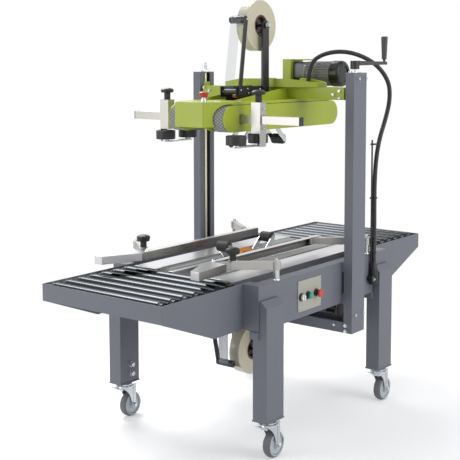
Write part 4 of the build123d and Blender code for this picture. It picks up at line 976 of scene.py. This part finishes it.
class SEALER_OT_motor(Operator):
    """Finish the motor"""

    bl_idname = "sealer.motor"
    bl_label = "Motor"

    def execute(self, context):
        low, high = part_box("motor")
        gearbox_end, body_end = high.y - 62.5 * MM, low.y + 44.5 * MM

        def finish_of(spot, normal):
            if spot.y > gearbox_end:
                return 0
            return 2 if spot.y < body_end else 1

        dress("motor", ["cast_gearbox", "cast_enamel", "fan_cover"], MACHINED_EDGE, finish_of)
        axis_x, axis_z = MOTOR_AXIS
        shape = bmesh.new()
        add_turned(shape, (axis_x, low.y, axis_z), FAR,
                   ((34, 1), (36.5, 0.2), (39, 1), (38, 4), (34, 1)), 48)
        for x, z in ((0.270, 1.426), (0.322, 1.426), (0.270, 1.369), (0.322, 1.369)):
            add_screw(shape, (x, gearbox_end + 0.4 * MM, z), NEAR, 7)
        new_fasteners("motor_trim", shape, "head")
        return {"FINISHED"}


class SEALER_OT_press_bar(Operator):
    """Finish the press bar and its blocks"""

    bl_idname = "sealer.press_bar"
    bl_label = "Press bar and blocks"

    def execute(self, context):
        dress("press_bar", ["satin_aluminium"], sizes().bar_edge)
        low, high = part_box("press_bar")
        skin, cover = 0.5 * MM, 3 * MM
        shape = bmesh.new()
        for near_y, far_y in ((low.y - skin, low.y + cover), (high.y - cover, high.y + skin)):
            add_block(shape, (low.x - skin, near_y, low.z - skin), (high.x + skin, far_y, high.z + skin))
        new_piece("bar_end_caps", shape, ["black_nylon"], "head", 1 * MM)
        for side, sign in SIDES:
            node = f"{side}_press_block"
            low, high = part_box(node)
            outer_y = low.y if sign < 0 else high.y
            knob_bottom, roller_top = high.z - 46.2 * MM, low.z + 10.7 * MM

            def finish_of(spot, normal):
                if spot.z > knob_bottom:
                    return 1
                if spot.z > BLOCK_BOTTOM_Z or abs(spot.y - outer_y) < 3.5 * MM:
                    return 0
                if spot.z < roller_top:
                    return 2
                return 2 if normal.z > 0.9 and spot.z > ROLLER_BRACKET_Z else 1

            dress(node, ["satin_aluminium", "black_nylon", "zinc_plate"], MOULDED_EDGE, finish_of)
            shape = bmesh.new()
            for z in (1.190, 1.262):
                add_screw(shape, (-0.262, outer_y, z), (0, sign, 0), 8)
            new_fasteners(f"{side}_block_screws", shape, node)
        return {"FINISHED"}


class SEALER_OT_tape_heads(Operator):
    """Finish the tape heads, their springs and the tape"""

    bl_idname = "sealer.tape_heads"
    bl_label = "Tape heads"

    def execute(self, context):
        dress("upper_tape_head", ["black_enamel"], MOULDED_EDGE)
        dress("lower_tape_head", ["black_enamel", "orange_enamel"], MOULDED_EDGE, above(BLADE_GUARD_Z))
        dress("upper_tape_stand", ["black_enamel"], MOULDED_EDGE)
        levels = (("upper", UPPER_ROLL), ("lower", LOWER_ROLL))
        for arm in [f"{level}_{end}_roller_arm" for level, _ in levels for end in ENDS]:
            dress(arm, ["zinc_plate", "press_rubber"], MACHINED_EDGE,
                  lambda spot, normal: 1 if abs(spot.y) < 27.5 * MM else 0)
        for level, centre in levels:
            tape_roll(level, *centre)
        upper_screws = ((-0.150, -0.045, 1.325, 8), (-0.094, -0.039, 1.313, 7), (-0.031, -0.049, 1.327, 8),
                        (-0.100, -0.039, 1.330, 7), (0.020, -0.039, 1.319, 8), (-0.110, -0.045, 1.600, 9),
                        (-0.0185, -0.039, 1.215, 10), (0.0615, -0.039, 1.215, 10))
        shape = bmesh.new()
        for *point, width in upper_screws:
            add_screw(shape, point, NEAR, width)
        add_bolt(shape, (UPPER_ROLL[0], -0.0545, UPPER_ROLL[1]), NEAR, 19)
        new_fasteners("tape_head_screws", shape, "head", SCREW_EDGE)
        shape = bmesh.new()
        for z in (0.520, 0.500):
            add_screw(shape, (LOWER_ROLL[0], -0.044, z), NEAR, 9)
        add_bolt(shape, (LOWER_ROLL[0], -0.0495, LOWER_ROLL[1]), NEAR, 17)
        new_fasteners("lower_head_screws", shape, "frame", SCREW_EDGE)
        shape = bmesh.new()
        add_coil(shape, (-0.150, -0.030, 1.300), 5, 1.6, 2.6, 9)
        add_coil(shape, (-0.128, -0.020, 1.303), 4, 1.4, 2.4, 12)
        new_piece("upper_springs", shape, ["copper_wire"], "head")
        new_strip("upper_strip", UPPER_STRIP, "clear_tape", "head")
        # The lower strip takes the denser tape, painted shade under the table
        new_strip("lower_strip", LOWER_STRIP, "clear_tape_painted_shade", "frame")
        return {"FINISHED"}


def tape_roll(level, x, z):
    """A wound roll of tape on its board core and hub, turned about its own pin."""
    roll = f"{level}_tape_roll"
    low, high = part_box(roll)
    outer, wide = (high.x - low.x) / 2 / MM, (high.y - low.y) / MM
    board, hub, pin = 43, 38, 6.2

    def mirrored(side):
        return [*side, *[(radius, wide - height) for radius, height in reversed(side)], side[0]]

    # The turns lie a little deeper or higher from step to step
    radii = (board, 55, 66, 78, 90, outer - 1)
    wound = []
    for inner, reach, dip in zip(radii, radii[1:], (0.2, 0.6, 0.3, 0.7, 0.3)):
        wound += [(inner, dip), (reach, dip)]
    web = [(pin, 10), (pin + 9, 10), (pin + 9, 15), (hub - 7, 15), (hub - 5, 4), (hub - 0.3, 1)]
    shape = bmesh.new()
    at = (x, low.y, z)
    add_turned(shape, at, FAR, mirrored([*wound, (outer, 1.2)]), 96, 0)
    add_ring(shape, at, FAR, hub, board, 0, wide, 64, 1)
    add_turned(shape, at, FAR, mirrored(web), 48, 2)
    layer = shape.loops.layers.uv.new("turns")
    for face in shape.faces:
        for corner in face.loops:
            point = corner.vert.co
            reach = Vector((point.x - x, point.z - z)).length
            round_rim = outer * MM * atan2(point.z - z, point.x - x)
            corner[layer].uv = (reach, 0) if abs(face.normal.y) > 0.7 else (round_rim, point.y)
    new_piece(roll + "_wound", shape, ["wound_tape", "core_board", "brown_hub"], roll,
              0, (roll,))


class SEALER_OT_crank(Operator):
    """Finish the crank and the lead screws"""

    bl_idname = "sealer.crank"
    bl_label = "Crank and screws"

    def execute(self, context):
        handle_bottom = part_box("crank")[1].z - 90.5 * MM
        dress("crank", ["black_enamel", "grey_nylon"], MOULDED_EDGE, above(handle_bottom))
        column_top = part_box("columns")[1].z
        dress("lead_screws", ["yellow_zinc", "zinc_plate"], 0, above(column_top + 0.5 * MM))
        low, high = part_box("lead_screws")
        pitch = sizes().thread_pitch
        root, crest, steps = 7.6 * MM, 8.6 * MM, 10
        shape = bmesh.new()
        for sign, top in ((-1, column_top - 5 * MM), (1, high.z - 1 * MM)):
            start = Vector((COLUMN_X, sign * SCREW_Y, low.z + 14 * MM))
            ridge = [shape.verts.new(start + Vector((radius, 0, rise)))
                     for radius, rise in ((root, 0), (crest, pitch / 4), (root, pitch / 2))]
            face = shape.faces.new(ridge)
            turns = int((top - start.z) / pitch)
            bmesh.ops.spin(shape, geom=[*ridge, *face.edges, face], cent=start, axis=UP,
                           dvec=(0, 0, pitch / steps), angle=2 * pi * turns, steps=turns * steps)
        new_piece("lead_screw_threads", shape, ["yellow_zinc"], "frame")
        shape = bmesh.new()
        far_top = (COLUMN_X, SCREW_Y, column_top)
        add_prism(shape, far_top, UP, 30, 10)
        add_rod(shape, far_top, (COLUMN_X, SCREW_Y, high.z - 0.2 * MM), 8.9)
        for x in (-20 * MM, 20 * MM):
            for y in (-13 * MM, 13 * MM):
                add_screw(shape, (COLUMN_X + x, y - SCREW_Y, column_top), UP, 8)
        new_fasteners("screw_nuts", shape, "frame", BOLT_EDGE)
        return {"FINISHED"}


class SEALER_OT_emergency_stop(Operator):
    """Finish the emergency stop"""

    bl_idname = "sealer.emergency_stop"
    bl_label = "Emergency stop"

    def execute(self, context):
        cap_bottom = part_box("emergency_stop")[1].z - 21.2 * MM
        dress("emergency_stop", ["stop_red", "zinc_plate"], MOULDED_EDGE, above(cap_bottom, 0, 1))
        return {"FINISHED"}


STEPS = (SEALER_OT_finishes, SEALER_OT_stage, SEALER_OT_conduit, SEALER_OT_steel_frame,
         SEALER_OT_bed_rollers, SEALER_OT_casters, SEALER_OT_deck_and_belts, SEALER_OT_control_panel,
         SEALER_OT_guides, SEALER_OT_head_sheet_metal, SEALER_OT_upper_belts, SEALER_OT_motor,
         SEALER_OT_press_bar, SEALER_OT_tape_heads, SEALER_OT_crank, SEALER_OT_emergency_stop)


class SEALER_PT_panel(Panel):
    """Steps and settings of the carton sealer"""

    bl_label = "Carton sealer"
    bl_idname = "SEALER_PT_panel"
    bl_space_type = "VIEW_3D"
    bl_region_type = "UI"
    bl_category = "Carton sealer"

    def draw(self, context):
        layout = self.layout
        for step in STEPS:
            layout.operator(step.bl_idname)
        for group in (colours(), sizes()):
            for name in type(group).__annotations__:
                layout.prop(group, name)


CLASSES = (SealerColours, SealerSizes, *STEPS, SEALER_PT_panel)


def register():
    for entry in CLASSES:
        bpy.utils.register_class(entry)
    bpy.types.Scene.sealer_colours = PointerProperty(type=SealerColours)
    bpy.types.Scene.sealer_sizes = PointerProperty(type=SealerSizes)


def unregister():
    del bpy.types.Scene.sealer_sizes
    del bpy.types.Scene.sealer_colours
    for entry in reversed(CLASSES):
        bpy.utils.unregister_class(entry)


def main():
    register()
    for step in STEPS:
        getattr(bpy.ops.sealer, step.bl_idname.split(".")[1])()


if __name__ == "__main__":
    main()
